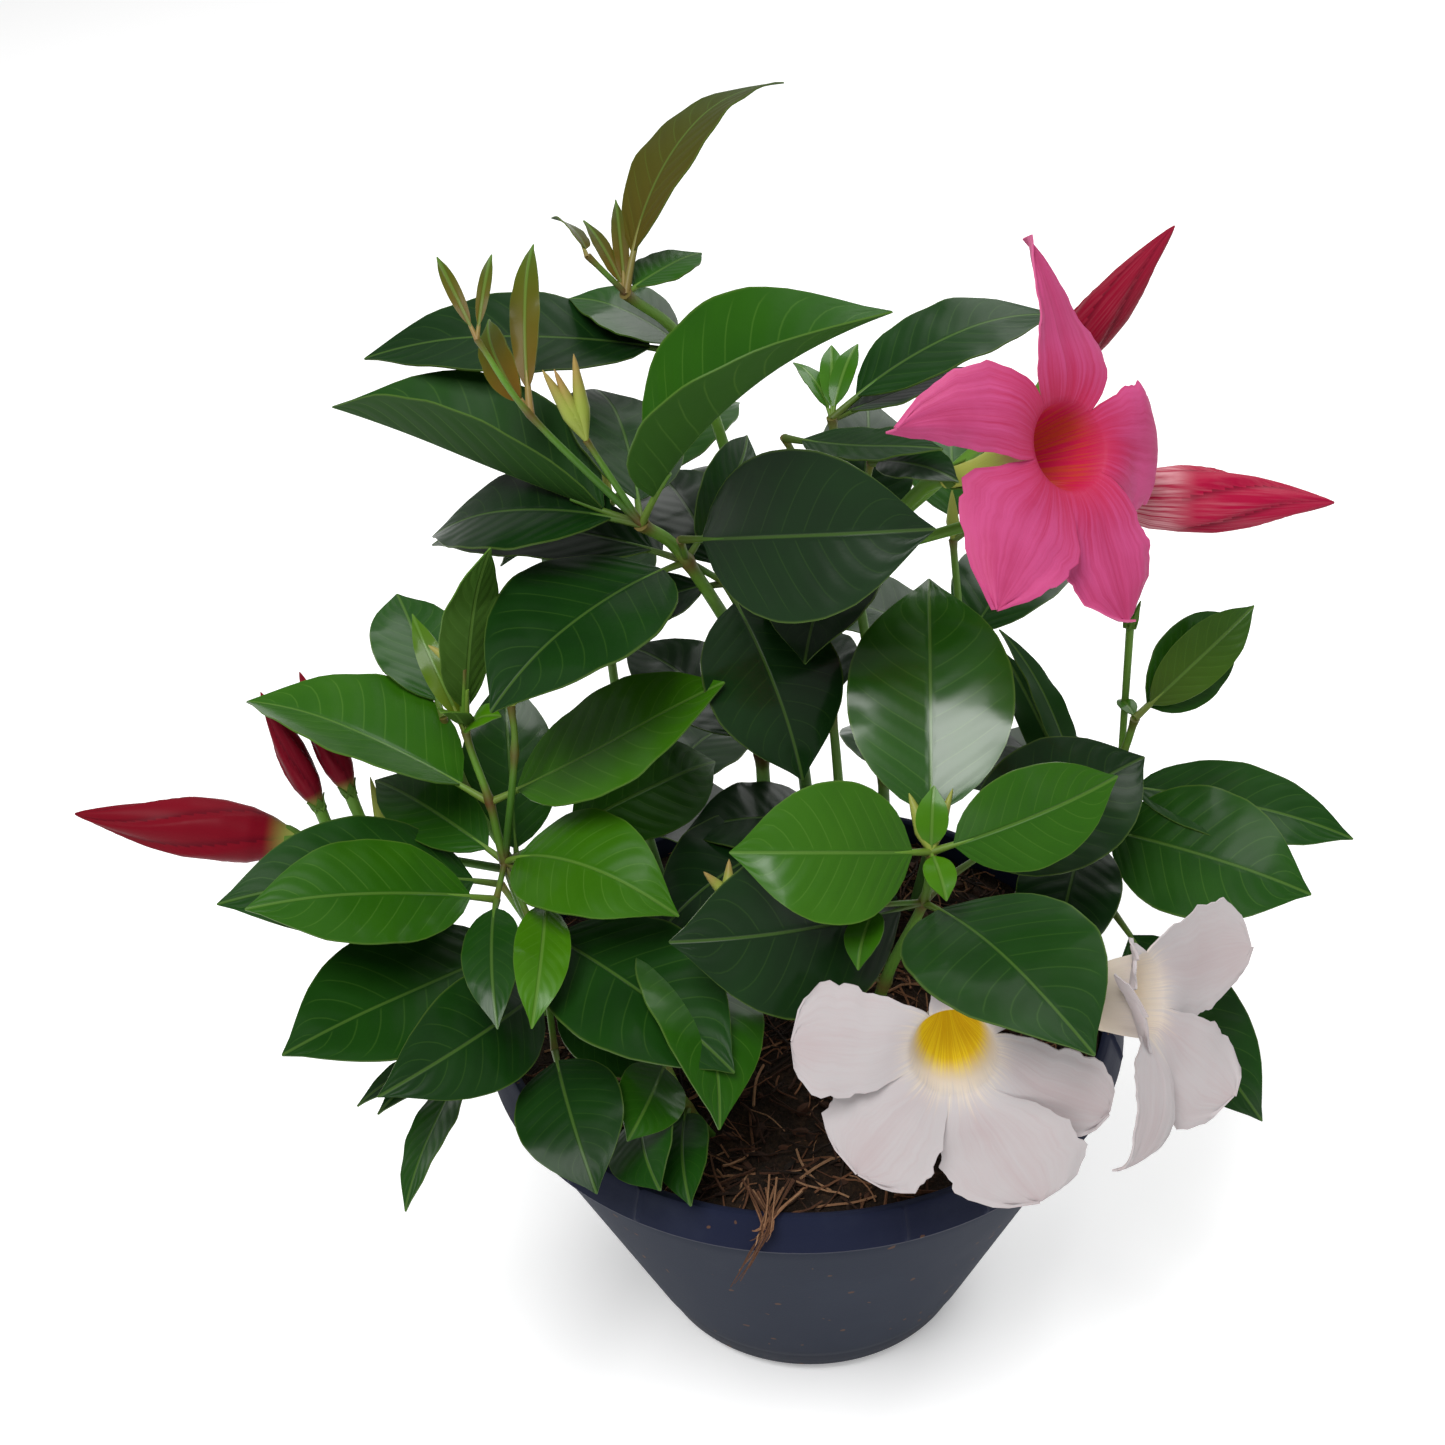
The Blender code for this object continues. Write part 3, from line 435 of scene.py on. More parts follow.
def rod(heap, path, radii, sides=8, **values):
    path = np.asarray(path, float)
    ahead = np.gradient(path, axis=0)
    ahead /= np.linalg.norm(ahead, axis=1)[:, None] + 1e-9
    side = unit(np.cross(ahead[0], (0.31, 0.93, 0.17)))
    rings = []
    for p, a, r in zip(path, ahead, np.broadcast_to(radii, len(path))):
        side = unit(side - a * side.dot(a))
        rings.append(p + r * spokes(circle(sides), side, np.cross(a, side)))
    for key, value in values.items():
        spread = np.repeat(np.broadcast_to(value, len(path)), sides)
        values[key] = np.concatenate([spread, [spread[0], spread[-1]]])
    heap.add(np.vstack(rings + [path[:1], path[-1:]]), tubeFaces(len(path), sides), **values)


# Leaves

leafForm = dict(stalk=0.12, rows=24, columns=7, thick=0.42, thinnest=0.15, curlFrom=0.62, wave=0.38,
                fullWave=50, ripples=((2.3, 0.25, 1.0), (5.1, 0.4, 0.6)), plainBelow=13, fullVeins=60,
                stalkRadii=(1.05, 0.55), small=dict(below=26, thick=0.7, stalk=0.6),
                outline=((0, 0.05), (0.03, 0.26), (0.08, 0.48), (0.15, 0.69), (0.25, 0.88), (0.36, 0.98),
                         (0.46, 1.0), (0.58, 0.96), (0.7, 0.82), (0.8, 0.61), (0.88, 0.37), (0.93, 0.2),
                         (0.97, 0.08), (1, 0.01)))


def outline(share):
    places, widths = np.array(leafForm["outline"]).T
    fine = np.linspace(0, 1, 201)
    rough = np.interp(fine, places, widths)
    soft = np.convolve(np.pad(rough, 6, mode="edge"), np.ones(13) / 13, "valid")
    return np.interp(share, fine, np.where((fine < 0.03) | (fine > 0.97), rough, soft))


def leaf(heap, stalks, rng, root, heading, rise, length, width, roll, arch, tone, left=7, right=7,
         curl=0.04, hook=0.0, olive=0.0, shine=0.6):
    form = leafForm
    along, up = direction(heading, rise), direction(heading, rise + 90)
    across = np.cross(along, up)
    turn = radians(roll)
    up, across = up * cos(turn) + across * sin(turn), across * cos(turn) - up * sin(turn)
    rows, columns, thick, slim = form["rows"], form["columns"], form["thick"], 1
    if length < form["small"]["below"]:
        rows, columns = rows // 2, columns - 3
        thick, slim = thick * form["small"]["thick"], form["small"]["stalk"]
    share = np.linspace(0, 1, rows)
    share = share + 0.04 * swing(share)
    v = np.linspace(-1, 1, 2 * columns + 1)
    v = v * (0.5 + 0.5 * np.abs(v))

    def ribAt(u):  # the midrib, which arches and then curls down and aside at its tip
        bend = np.clip((u - form["curlFrom"]) / (1 - form["curlFrom"]), 0, 1) ** 2
        return (root + np.outer(u, along) * length + np.outer(4 * u * (1 - u), up) * arch * length
                - np.outer(bend, up) * curl * length + np.outer(bend, across) * hook * length)

    rib = ribAt(form["stalk"] + (1 - form["stalk"]) * share)
    half = np.maximum(width / 2 * outline(share), form["thinnest"])[:, None]
    ripple = form["wave"] * np.minimum(1, length / form["fullWave"]) * sum(
        size * swing(waves * share[:, None] + start + shift * np.sign(v))
        for (waves, shift, size), start in zip(form["ripples"], rng.uniform(0, 1, 2)))
    fold = np.radians(np.where(v < 0, left, right))
    lift = half * (np.sin(fold) * np.abs(v) ** 1.15 - 0.03 * v ** 4) + ripple * np.abs(v) ** 2.4 * (
        np.sin(pi * np.clip(share, 0, 1)) ** 0.7)[:, None]
    reach = half * v * np.cos(fold)
    points = rib[:, None] + reach[:, :, None] * across + lift[:, :, None] * up
    far = np.repeat(share, len(v))
    heap.sheet(points, gridFaces(rows, len(v)), thick, along=far, across=np.tile(v, rows), tone=tone,
               olive=olive * (1 - 0.75 * far), shine=shine, seed=rng.uniform(0, 1),
               reach=np.abs(half * v).ravel(),
               veins=0.0 if width < form["plainBelow"] else min(1, length / form["fullVeins"]))
    path = ribAt(np.linspace(0, form["stalk"] + 0.1, 6)) - up * 0.3
    rod(stalks, path, np.linspace(*form["stalkRadii"], 6) * slim, 7,
        tone=min(1.0, tone + 0.35), olive=olive * 0.5, across=np.linspace(0.5, 0, 6))


# The plan: each shoot has named nodes, stems that run through them with a first and a last radius,
# leaves and sprigs. A leaf is its node, heading, rise, length, width, roll, arch and tone, from 0,
# old and dark, to 1, young and yellow-green, and then what is special about it. A sprig is a small
# closed bud: its node, heading, rise, length, radius and tone. Headings, rises and rolls are in degrees.

shoots = {}
shoots["shoot_left"] = dict(
    nodes=dict(
        a=(-42, -8, 84), b=(-58, -20, 128), c=(-70, -30, 157), d=(-76, -30, 182), e=(-78, -30, 201),
        f=(-82, -28, 221), g=(-65, -44, 182), h=(-78, -40, 178), i=(-81, -26, 238), j=(-43, -40, 161),
        k=(-88, -35, 127), l=(-68, -40, 149), m=(-66, -55, 140), n=(-70, -34, 218), o=(-70, -30, 229),
        q=(-79, -20, 167), r=(-76, -6, 160), s=(-86, -8, 188), t=(-90, -8, 212), u=(-66, -20, 180),
        v=(-110, -4, 168), w=(-70, -40, 169),
    ),
    stems=(
        ("abcdefi", 2.4, 0.9), ("dg", 1, 0.9), ("dh", 1, 0.9), ("cj", 1.2, 1), ("bk", 1.2, 1),
        ("clm", 1.4, 1), ("dno", 1.3, 1), ("cq", 1.2, 1), ("brst", 1.8, 1), ("du", 1.1, 1),
        ("rv", 1.5, 1.4), ("dw", 1.2, 1),
    ),
    leaves=(
        ("e", 154, 13, 71, 41, 6, 0.04, 0.54, dict(left=22, right=18)),
        ("e", 2, 29, 67, 36, 10, -0.03, 0.66), ("h", 200, 17, 63, 30, -25, 0.06, 0.52),
        ("d", 324, 7, 54, 31, 20, 0.18, 0.66), ("g", 266, -14, 39, 14, -15, 0.1, 0.76),
        ("h", 272, -10, 40, 15, 10, 0.1, 0.3), ("t", 108, 15, 48, 25, 5, 0.02, 0.36),
        ("f", 10, 79, 52, 17, -60, 0.04, 0.72, dict(olive=0.15)),
        ("f", 123, 46, 32, 7, -25, 0.1, 0.8, dict(olive=0.4)),
        ("f", 248, 52, 16, 9, 0, 0.1, 0.85, dict(olive=0.25)), ("f", 320, 38, 16, 9, 20, 0.1, 0.85),
        ("d", 137, 5, 50, 20, -20, 0.06, 0.4), ("u", 41, -4, 60, 27, 40, 0.1, 0.48),
        ("q", 202, 16, 74, 34, -30, 0.1, 0.3, dict(shine=0.15)), ("c", 221, 8, 77, 39, -20, 0, 0.3),
        ("l", 232, 8, 60, 29, -50, 0.15, 0.2), ("k", 249, -14, 52, 16, 30, 0.02, 0.35),
        ("w", 316, -6, 69, 40, 10, 0.06, 0.24), ("j", 289, -9, 60, 33, -25, 0.18, 0.44),
        ("m", 284, -10, 44, 28, 15, 0.1, 0.2, dict(shine=0.35)), ("l", 331, -28, 38, 24, 20, 0.05, 0.26),
        ("r", 92, 54, 53, 26, 0, 0.05, 0.35), ("k", 208, -8, 36, 9, 0, 0.05, 0.2),
        ("k", 217, -10, 33, 9, 0, 0.05, 0.2),
    ),
    sprigs=(
        ("o", 115, 78, 18, 2, 0.35), ("o", 70, 75, 22, 2.1, 1), ("o", 15, 60, 17, 2, 0.45),
        ("o", 90, 60, 9, 1.4, 0.1), ("i", 165, 35, 10, 1.6, 0.3), ("i", 140, 60, 8, 1.4, 0.3),
        ("i", 60, 60, 8, 1.3, 0.2), ("v", 110, 60, 20, 1.8, 0.1), ("v", 70, 55, 19, 1.7, 0.1),
    ),
)
shoots["shoot_low"] = dict(
    nodes=dict(a=(-22, -42, 84), b=(-33, -55, 118), c=(-38, -57, 136), d=(-44, -60, 124)),
    stems=(("abc", 1.8, 1), ("bd", 1, 0.9)),
    leaves=(
        ("c", 251, -1, 28, 18, -30, 0.1, 0.45), ("d", 276, 1, 30, 22, 40, 0.1, 0.3),
        ("b", 269, -4, 32, 16, 25, 0.1, 0.3),
    ),
)
shoots["shoot_upper"] = dict(
    nodes=dict(
        a=(-5, 12, 84), b=(-8, 14, 150), c=(-8, 8, 205), d=(-26, -9, 255), e=(-36, -20, 272),
        f=(-59, -25, 304), g=(-69, -25, 323), h=(-47, -23, 296), i=(-27, -18, 266), j=(-17, 0, 243),
        k=(-9, 12, 182), l=(-30, -8, 150),
    ),
    stems=(
        ("abkcde", 2.8, 1.8), ("efg", 1.2, 0.7), ("eh", 1.1, 0.8), ("di", 1.2, 1), ("dj", 1.2, 1),
        ("bl", 1.3, 1),
    ),
    leaves=(
        ("e", 153, 12, 86, 44, -20, -0.02, 0.32, dict(left=82, right=22, shine=0.12)),
        ("e", 340, 46, 84, 48, 40, 0.11, 0.48, dict(left=20, right=72, shine=0.3)),
        ("e", 155, -12, 60, 34, -10, 0.08, 0.14), ("k", 137, 19, 52, 30, 0, 0.08, 0.12),
        ("d", 222, -10, 64, 46, 0, 0.08, 0.2, dict(left=8, right=8)),
        ("f", 112, 25, 30, 9, -50, 0.1, 0.55, dict(olive=1, shine=0.3)),
        ("f", 88, 38, 44, 7, -10, 0.1, 0.55, dict(olive=0.9, shine=0.3)),
        ("g", 116, 31, 24, 3.4, -20, 0.1, 0.5, dict(olive=0.9, shine=0.3)),
        ("g", 79, 35, 22, 3, 10, 0.1, 0.5, dict(olive=0.8, shine=0.3)),
        ("i", 335, 13, 64, 40, 65, 0.1, 0.1, dict(shine=1.1)),
        ("j", 297, -44, 53, 36, 5, 0.1, 0.12, dict(shine=0.9)), ("d", 65, 19, 44, 16, 50, 0.08, 0.16),
        ("e", 101, 12, 55, 30, 20, 0.08, 0.2, dict(shine=0.3)), ("d", 154, -6, 74, 26, -10, 0.08, 0.12),
        ("d", 145, -15, 62, 28, 10, 0.08, 0.12), ("j", 116, 21, 42, 26, 0, 0.1, 0.1),
        ("j", 196, -18, 42, 24, 0, 0.1, 0.1), ("l", 33, 5, 48, 34, 30, 0.1, 0.12, dict(shine=0.8)),
        ("b", 170, 10, 46, 30, 0, 0.1, 0.1),
    ),
    sprigs=(("h", 165, 62, 19, 2, 0.45), ("h", 158, 69, 18, 1.8, 0.6), ("h", 110, 78, 20, 2, 0.5)),
)
shoots["shoot_top"] = dict(
    nodes=dict(
        a=(8, 30, 84), b=(2, 34, 170), c=(-10, 32, 240), d=(-23, 25, 294), e=(-37, 10, 317),
        f=(-45, 9, 327),
    ),
    stems=(("abcde", 2.6, 1.5), ("ef", 0.9, 0.8)),
    leaves=(
        ("e", 54, 26, 74, 23, -20, 0.15, 0.3, dict(olive=0.55, shine=0.1)),
        ("d", 178, 3, 80, 34, -10, 0.05, 0.14, dict(shine=0.2)),
        ("e", 45, 5, 26, 15, 0, 0.02, 0.45, dict(shine=0.5)), ("d", 153, 18, 34, 24, 0, 0.08, 0.35),
        ("f", 125, 22, 15, 9, 40, 0.1, 0.4, dict(olive=0.6)),
        ("e", 120, 35, 22, 4, 0, 0.05, 0.35, dict(olive=0.8, shine=0.2)),
        ("e", 94, 36, 26, 4, 0, 0.05, 0.35, dict(olive=0.8, shine=0.2)),
        ("c", 122, -3, 42, 28, 0, 0.1, 0.12),
    ),
)
shoots["shoot_middle"] = dict(
    nodes=dict(
        a=(24, 14, 84), b=(24, 18, 170), c=(16, 14, 240), d=(11, 10, 282), e=(-1, 5, 280), f=(20, 5, 272),
    ),
    stems=(("abcd", 2.4, 1.3), ("ce", 1.1, 1), ("cf", 1.2, 1)),
    leaves=(
        ("d", 22, 14, 64, 27, 5, 0.1, 0.2, dict(shine=0.3)), ("d", 20, 9, 40, 20, -10, 0, 0.16),
        ("e", 325, 12, 44, 16, 5, -0.04, 0.2), ("f", 309, 13, 30, 14, 10, 0.05, 0.16),
        ("d", 116, 23, 20, 6, 10, 0.1, 0.62), ("d", 86, 29, 22, 6, 0, 0.1, 0.66),
        ("d", 66, 32, 22, 6, 0, 0.1, 0.62), ("c", 80, 30, 50, 26, 20, 0.1, 0.14),
        ("c", 250, -4, 44, 30, 10, 0.1, 0.08), ("b", 0, 8, 40, 30, 0, 0.1, 0.08),
    ),
)
shoots["shoot_front"] = dict(
    nodes=dict(
        a=(12, -18, 84), b=(20, -35, 140), c=(28, -52, 180), d=(29, -58, 200), e=(32, -45, 201),
        f=(36, -42, 180), g=(16, -62, 188), h=(-19, -44, 170), i=(-20, -43, 178),
    ),
    stems=(("abcd", 2.4, 1.3), ("de", 1.2, 1), ("cf", 1.2, 1), ("cg", 0.9, 0.8), ("bhi", 1.1, 0.9)),
    leaves=(
        ("d", 193, 13, 50, 34, -55, 0.1, 0.64, dict(shine=0.9)),
        ("d", 9, 17, 48, 25, 65, 0.08, 0.55, dict(shine=0.8)),
        ("c", 295, 6, 70, 46, 2, 0.08, 0.26, dict(shine=0.35, hook=-0.03)),
        ("g", 248, -21, 18, 10, 15, 0.1, 0.6), ("c", 200, 8, 66, 44, -65, 0.1, 0.12, dict(shine=0.9)),
        ("d", 85, 36, 72, 41, 0, 0.08, 0.42, dict(shine=1)), ("f", 32, 9, 65, 36, 28, 0.04, 0.16),
        ("d", 80, 64, 16, 8, 0, 0.1, 0.8), ("d", 280, -17, 14, 8, 0, 0.1, 0.8),
    ),
    sprigs=(
        ("d", 118, 50, 15, 2.2, 0.1), ("d", 55, 50, 16, 1.7, 0.1), ("i", 170, 50, 9, 1.6, 0.5),
        ("i", 80, 60, 9, 1.6, 0.5), ("i", 20, 40, 9, 1.6, 0.4),
    ),
)
shoots["shoot_right"] = dict(
    nodes=dict(
        a=(40, 8, 84), b=(62, 8, 132), c=(78, 2, 160), d=(86, 2, 182), e=(88, -2, 197), f=(84, 9, 168),
        g=(85, -8, 137),
    ),
    stems=(("abcde", 2.2, 1.2), ("cf", 1.2, 1), ("bg", 1.2, 1)),
    leaves=(
        ("e", 39, 17, 50, 15, 40, 0.02, 0.55, dict(olive=0.2, shine=0.9)),
        ("e", 46, 10, 50, 22, 50, 0, 0.42), ("e", 104, 0, 10, 5, 0, 0.1, 0.7),
        ("c", 121, 50, 58, 12, 20, 0.06, 0.25, dict(shine=0.3)),
        ("f", 340, -3, 66, 25, 20, 0.05, 0.28, dict(shine=0.4)),
        ("c", 328, 0, 62, 38, 32, 0.05, 0.36, dict(shine=0.3)), ("g", 306, -32, 67, 28, 35, 0.1, 0.25),
        ("c", 116, 38, 54, 12, -20, 0.05, 0.25, dict(shine=0.3)), ("c", 250, -20, 46, 28, 0, 0.08, 0.12),
    ),
)
shoots["shoot_core"] = dict(
    nodes=dict(a=(11, -8, 84), b=(12, -6, 130), c=(11, -6, 170), d=(9, -4, 205), e=(6, -2, 222)),
    stems=(("abcde", 2.4, 1.3),),
    leaves=(
        ("d", 104, 5, 38, 26, 0, 0.1, 0.08), ("c", 213, -6, 60, 38, 0, 0.1, 0.08),
        ("b", 196, 0, 68, 38, 0, 0.1, 0.1), ("c", 184, 4, 42, 30, 0, 0.08, 0.1),
        ("b", 182, 10, 58, 30, 0, 0.1, 0.08),
    ),
)
shoots["shoot_white"] = dict(
    nodes=dict(a=(32, -24, 84), b=(37, -34, 122)),
    stems=(("ab", 2, 1.4),),
)
shoots["shoot_back_left"] = dict(
    nodes=dict(a=(-30, 26, 84), b=(-44, 44, 140), c=(-50, 56, 190), d=(-48, 60, 232)),
    stems=(("abcd", 2.4, 1.2),),
    leaves=(
        ("b", 150, 0, 66, 34, 0, 0.1, 0.25), ("b", 60, -5, 62, 32, 0, 0.1, 0.2),
        ("c", 190, 5, 64, 34, 0, 0.1, 0.3), ("c", 95, 5, 66, 34, 0, 0.1, 0.25),
        ("d", 140, 15, 58, 30, 0, 0.1, 0.4), ("d", 50, 10, 60, 30, 0, 0.1, 0.42),
    ),
    sprigs=(("d", 90, 70, 14, 2, 0.1),),
)
shoots["shoot_back_right"] = dict(
    nodes=dict(a=(30, 34, 84), b=(44, 50, 136), c=(50, 62, 178), d=(48, 66, 214)),
    stems=(("abcd", 2.4, 1.2),),
    leaves=(
        ("b", 20, -5, 64, 34, 0, 0.1, 0.2), ("b", 110, -8, 60, 32, 0, 0.1, 0.25),
        ("c", 55, 5, 66, 34, 0, 0.1, 0.28), ("c", 150, 5, 60, 32, 0, 0.1, 0.25),
        ("d", 85, 15, 58, 30, 0, 0.1, 0.4), ("d", 10, 12, 56, 28, 0, 0.1, 0.38),
    ),
    sprigs=(("d", 90, 70, 14, 2, 0.1),),
)

# A bloom is its shoot and node, the middle of its throat, the heading and rise it faces, its colour
# and its petals: angle about the throat, length, the half widths on either side, how pointed it is
# from 0 to 1, how far its end bends back, how far its tip hooks aside as a share of its length, and
# how far its edges curl forward, left and right, in millimetres

blooms = {
    "bloom_pink": dict(
        shoot="shoot_middle", node="c", throat=(62, -30, 292), heading=308, rise=31, open=88, colour="pink",
        petals=((-150, 36, 18, 13, 0.8, 5, 0.08, -1.5, 1), (-92, 32, 13, 11, 0.4, 10, -0.05, 2.5, -2),
                (-16, 21, 14, 14, 0.2, 50, -0.1, -2, -2), (74, 37, 15, 8, 1, 0, 0.2, -2, 1),
                (142, 42, 13, 8, 0.8, -10, 0.36, -1, -3)),
    ),
    "bloom_white_front": dict(
        shoot="shoot_white", node="b", throat=(31, -93, 168), heading=266, rise=24, open=88, colour="white",
        petals=((-128, 27, 15, 13, 0, 5, 0, 0.5, 0.5), (-65, 31, 16, 17, 0.1, 5, 0.1, 0.5, -1),
                (-22, 29, 11, 12, 0.1, 15, 0, 0.5, 1), (70, 12, 16, 11, 0.4, -80, 0.2, 1.5, -1),
                (175, 28, 14, 12, 0, 5, 0, -0.5, 0.5)),
    ),
    "bloom_white_side": dict(
        shoot="shoot_white", node="b", throat=(81, -69, 161), heading=335, rise=20, open=66, colour="white",
        petals=((-148, 39, 12, 8, 0.9, 90, -0.1, 1, -1), (-88, 26, 18, 15, 0.1, -12, 0, 0.5, -0.5),
                (-18, 27, 14, 15, 0.2, -50, 0.05, -0.5, 0.5), (105, 4, 8, 8, 0.3, -20, 0, 0.2, 0.2),
                (165, 6, 11, 9, 0.2, -80, 0, 0.2, 0.2)),
    ),
}

# A furled bud is its shoot and node, base, tip, radius, turn of its petals and tone, from 0, maroon,
# to 1, pink

buds = {
    "bud_red_long": dict(shoot="shoot_left", node="v", base=(-132, -9, 176), tip=(-188, -10, 189),
                         radius=8, turn=70, tone=0),
    "bud_red_back": dict(shoot="shoot_left", node="v", base=(-119, 3, 182), tip=(-128, 9, 217),
                         radius=4.2, turn=60, tone=0.1),
    "bud_red_small": dict(shoot="shoot_left", node="v", base=(-127, 0, 180), tip=(-138, 5, 214),
                          radius=4, turn=60, tone=0.1),
    "bud_pink_up": dict(shoot="shoot_middle", node="c", base=(63, 10, 289), tip=(90, 5, 329),
                        radius=5.6, turn=60, tone=0.35),
    "bud_pink_right": dict(shoot="shoot_middle", node="c", base=(76, 3, 260), tip=(132, -5, 260),
                           radius=8, turn=80, tone=0.9),
}

bareStalks = (("shoot_right", "d", (88, 12, 217)),)


# Blooms

bloomForm = dict(funnel=((0, 2.2), (6, 2.4), (12, 2.8), (17, 3.6), (22, 4.9), (27, 6.4), (32, 7.7), (38, 9.2),
                         (45, 10.5)),
                 thick=0.5, rows=26, columns=19, ruffle=dict(pink=0.6, white=0.6), mouthLean=55,
                 openShare=0.3, joined=0.4, pinwheel=12, root=0.6, frills=((4.3, 0.035), (9.1, 0.02)),
                 throatShadeAt=30, sepals=(2.6, 7.5))


def bloomFrame(bloom):
    ahead = direction(bloom["heading"], bloom["rise"])
    right = unit(np.cross((0.0, 0.0, 1.0), ahead))
    return ahead, right, np.cross(ahead, right)


def sweep(values, size):  # adds up a course of slopes, each of which counts for half of both its steps
    return np.concatenate([[0], np.cumsum((values[1:] + values[:-1]) / 2)]) * size / (len(values) - 1)


def petalPoints(bloom, petal, low, high, rng):
    angle, length, left, right, point, bend, hook, curlLeft, curlRight = petal
    form = bloomForm
    ahead, across, up = bloomFrame(bloom)
    mouth = form["funnel"][-1][1]
    flat = np.linspace(0, 1, form["rows"])
    u, v = flat[:, None], np.linspace(-1, 1, form["columns"])
    lean = np.radians(form["mouthLean"] + bend * flat ** 2 + (bloom["open"] - form["mouthLean"])
                      * np.minimum(1, flat / form["openShare"]))
    out, rise = sweep(np.sin(lean), length), sweep(np.cos(lean), length)
    root = mouth * form["root"]
    peak = 0.66 - 0.3 * point
    fall = (1 - np.clip((u - peak) / (1 - peak), 0, 1) ** (2.4 - 1.2 * point)) ** (0.5 + 0.5 * point)
    grow = np.sin(pi / 2 * np.minimum(1, u / peak))
    full = np.where(v < 0, left, right)
    half = np.maximum(np.where(u < peak, root + (full - root) * grow, full * fall), 0.25)
    wander = rng.uniform(0, 1, 5)
    half = half * (1 + sum(size * swing(waves * u + start)
                           for (waves, size), start in zip(form["frills"], wander[3:])))
    side = half * v
    wave = form["ruffle"][bloom["colour"]] * (
        swing(1.7 * u + wander[0] + 0.3 * v) + 0.7 * swing(2.3 * v + wander[1]) * u
        + 0.45 * swing(4.1 * v + wander[2]) * u ** 2)
    curl = np.where(v < 0, curlLeft, curlRight) * np.abs(v) ** 4
    rib = 0.5 * np.exp(-(v / 0.06) ** 2) * ease(u / 0.2) * (1 - u)
    lift = (side * tan(radians(form["pinwheel"])) * np.minimum(1, u / form["joined"])
            - 0.08 * half * v ** 2 + (wave * np.abs(v) ** 1.5 + curl) * ease(u / 0.6) - rib)
    a = radians(angle)
    outward = across * cos(a) + up * sin(a)
    around = up * cos(a) - across * sin(a)
    far, proud = (mouth + out)[:, None, None], rise[:, None]
    free = (outward * far + around * (side + hook * length * u ** 2)[:, :, None]
            + ahead * (proud + lift)[:, :, None])
    spoke = spokes(np.radians(low + (high - low) * (v + 1) / 2), across, up)
    share = ease(u / form["joined"])[:, :, None]
    return bloom["throat"] + (spoke[None] * far + ahead * proud[:, :, None]) * (1 - share) + free * share


def makeBloom(name, bloom, finish, green):
    rng = np.random.default_rng(len(name) * 7)
    form = bloomForm
    ahead, right, up = bloomFrame(bloom)
    depth, rings = form["funnel"][-1][0], form["funnel"][:-1]
    base = bloom["throat"] - ahead * depth
    angles = [petal[0] for petal in bloom["petals"]]
    joins = [(a + b) / 2 for a, b in zip([angles[-1] - 360] + angles, angles + [angles[0] + 360])]
    places = np.append([place / depth - 1 for place, _ in rings], np.linspace(0, 1, form["rows"]))
    rows, columns = len(places), form["columns"]
    points, marks, faces = [], dict(along=[], across=[], seed=[], tone=[]), []
    for number, petal in enumerate(bloom["petals"]):
        low, high = joins[number:number + 2]
        seed = rng.uniform(0, 1)
        turn = np.radians(np.linspace(low, high, columns))
        spoke = spokes(turn, right, up)
        faces += [face[::-1] for face in gridFaces(rows, columns, len(points))]
        for place, radius in rings:
            points += list(base + ahead * place + radius * spoke)
        points += list(petalPoints(bloom, petal, low, high, rng).reshape(-1, 3))
        marks["along"] += list(np.repeat(places, columns))
        marks["across"] += list(np.linspace(-1, 1, columns)) * rows
        marks["seed"] += [seed] * (rows * columns)
        # tone here is how near each place of the funnel is to the side of the throat that takes painted shade
        marks["tone"] += list(0.5 + 0.5 * np.cos(turn - radians(form["throatShadeAt"]))) * rows
    points, marks, faces = weld(np.array(points), {k: np.array(m) for k, m in marks.items()}, faces)
    heap = Heap()
    heap.sheet(points, faces, form["thick"], **marks)
    heap.piece(name + "_petals", finish, [name], "petal_" + bloom["colour"], 70)
    sepals(green, base, ahead, *form["sepals"])


def weld(points, marks, faces):  # joins the petals where their edges meet
    spots = np.round(points / 0.01).astype(int)
    _, first, index = np.unique(spots, axis=0, return_index=True, return_inverse=True)
    kept = [face for face in index.reshape(-1)[np.array(faces)].tolist() if len(set(face)) == 4]
    return points[first], {k: m[first] for k, m in marks.items()}, kept


sepalForm = dict(count=5, rows=6, columns=5, half=1.7, thick=0.4, flare=1.1, below=0.8)


def sepals(heap, base, ahead, radius, length):
    form = sepalForm
    side = unit(np.cross(ahead, (0.2, 0.9, 0.3)))
    other = np.cross(ahead, side)
    u, v = np.linspace(0, 1, form["rows"]), np.linspace(-1, 1, form["columns"])
    half = form["half"] * (1 - u ** 1.6)[:, None] * v
    away = radius * (0.55 + 0.5 * np.minimum(1, 3 * u)) + form["flare"] * u ** 3
    for a in circle(form["count"]):
        outward = side * cos(a) + other * sin(a)
        centre = base - ahead * form["below"] + np.outer(u, ahead) * length + np.outer(away, outward)
        points = (centre[:, None] + half[:, :, None] * np.cross(ahead, outward)
                  - (0.12 * half[:, :, None] ** 2) * outward)
        heap.sheet(points[:, ::-1], gridFaces(len(u), len(v)), form["thick"], along=np.repeat(u, len(v)),
                   across=0.5, tone=0.6, olive=0.2, shine=0.3, seed=0.3)


# Buds

budForm = dict(rows=56, sides=60, petals=5, step=0.16, sepals=(0.42, 1.05),
               shape=((0, 0.3), (0.05, 0.44), (0.12, 0.7), (0.22, 0.93), (0.34, 1.0), (0.5, 0.95),
                      (0.66, 0.73), (0.8, 0.47), (0.9, 0.27), (0.97, 0.12), (1, 0.03)))


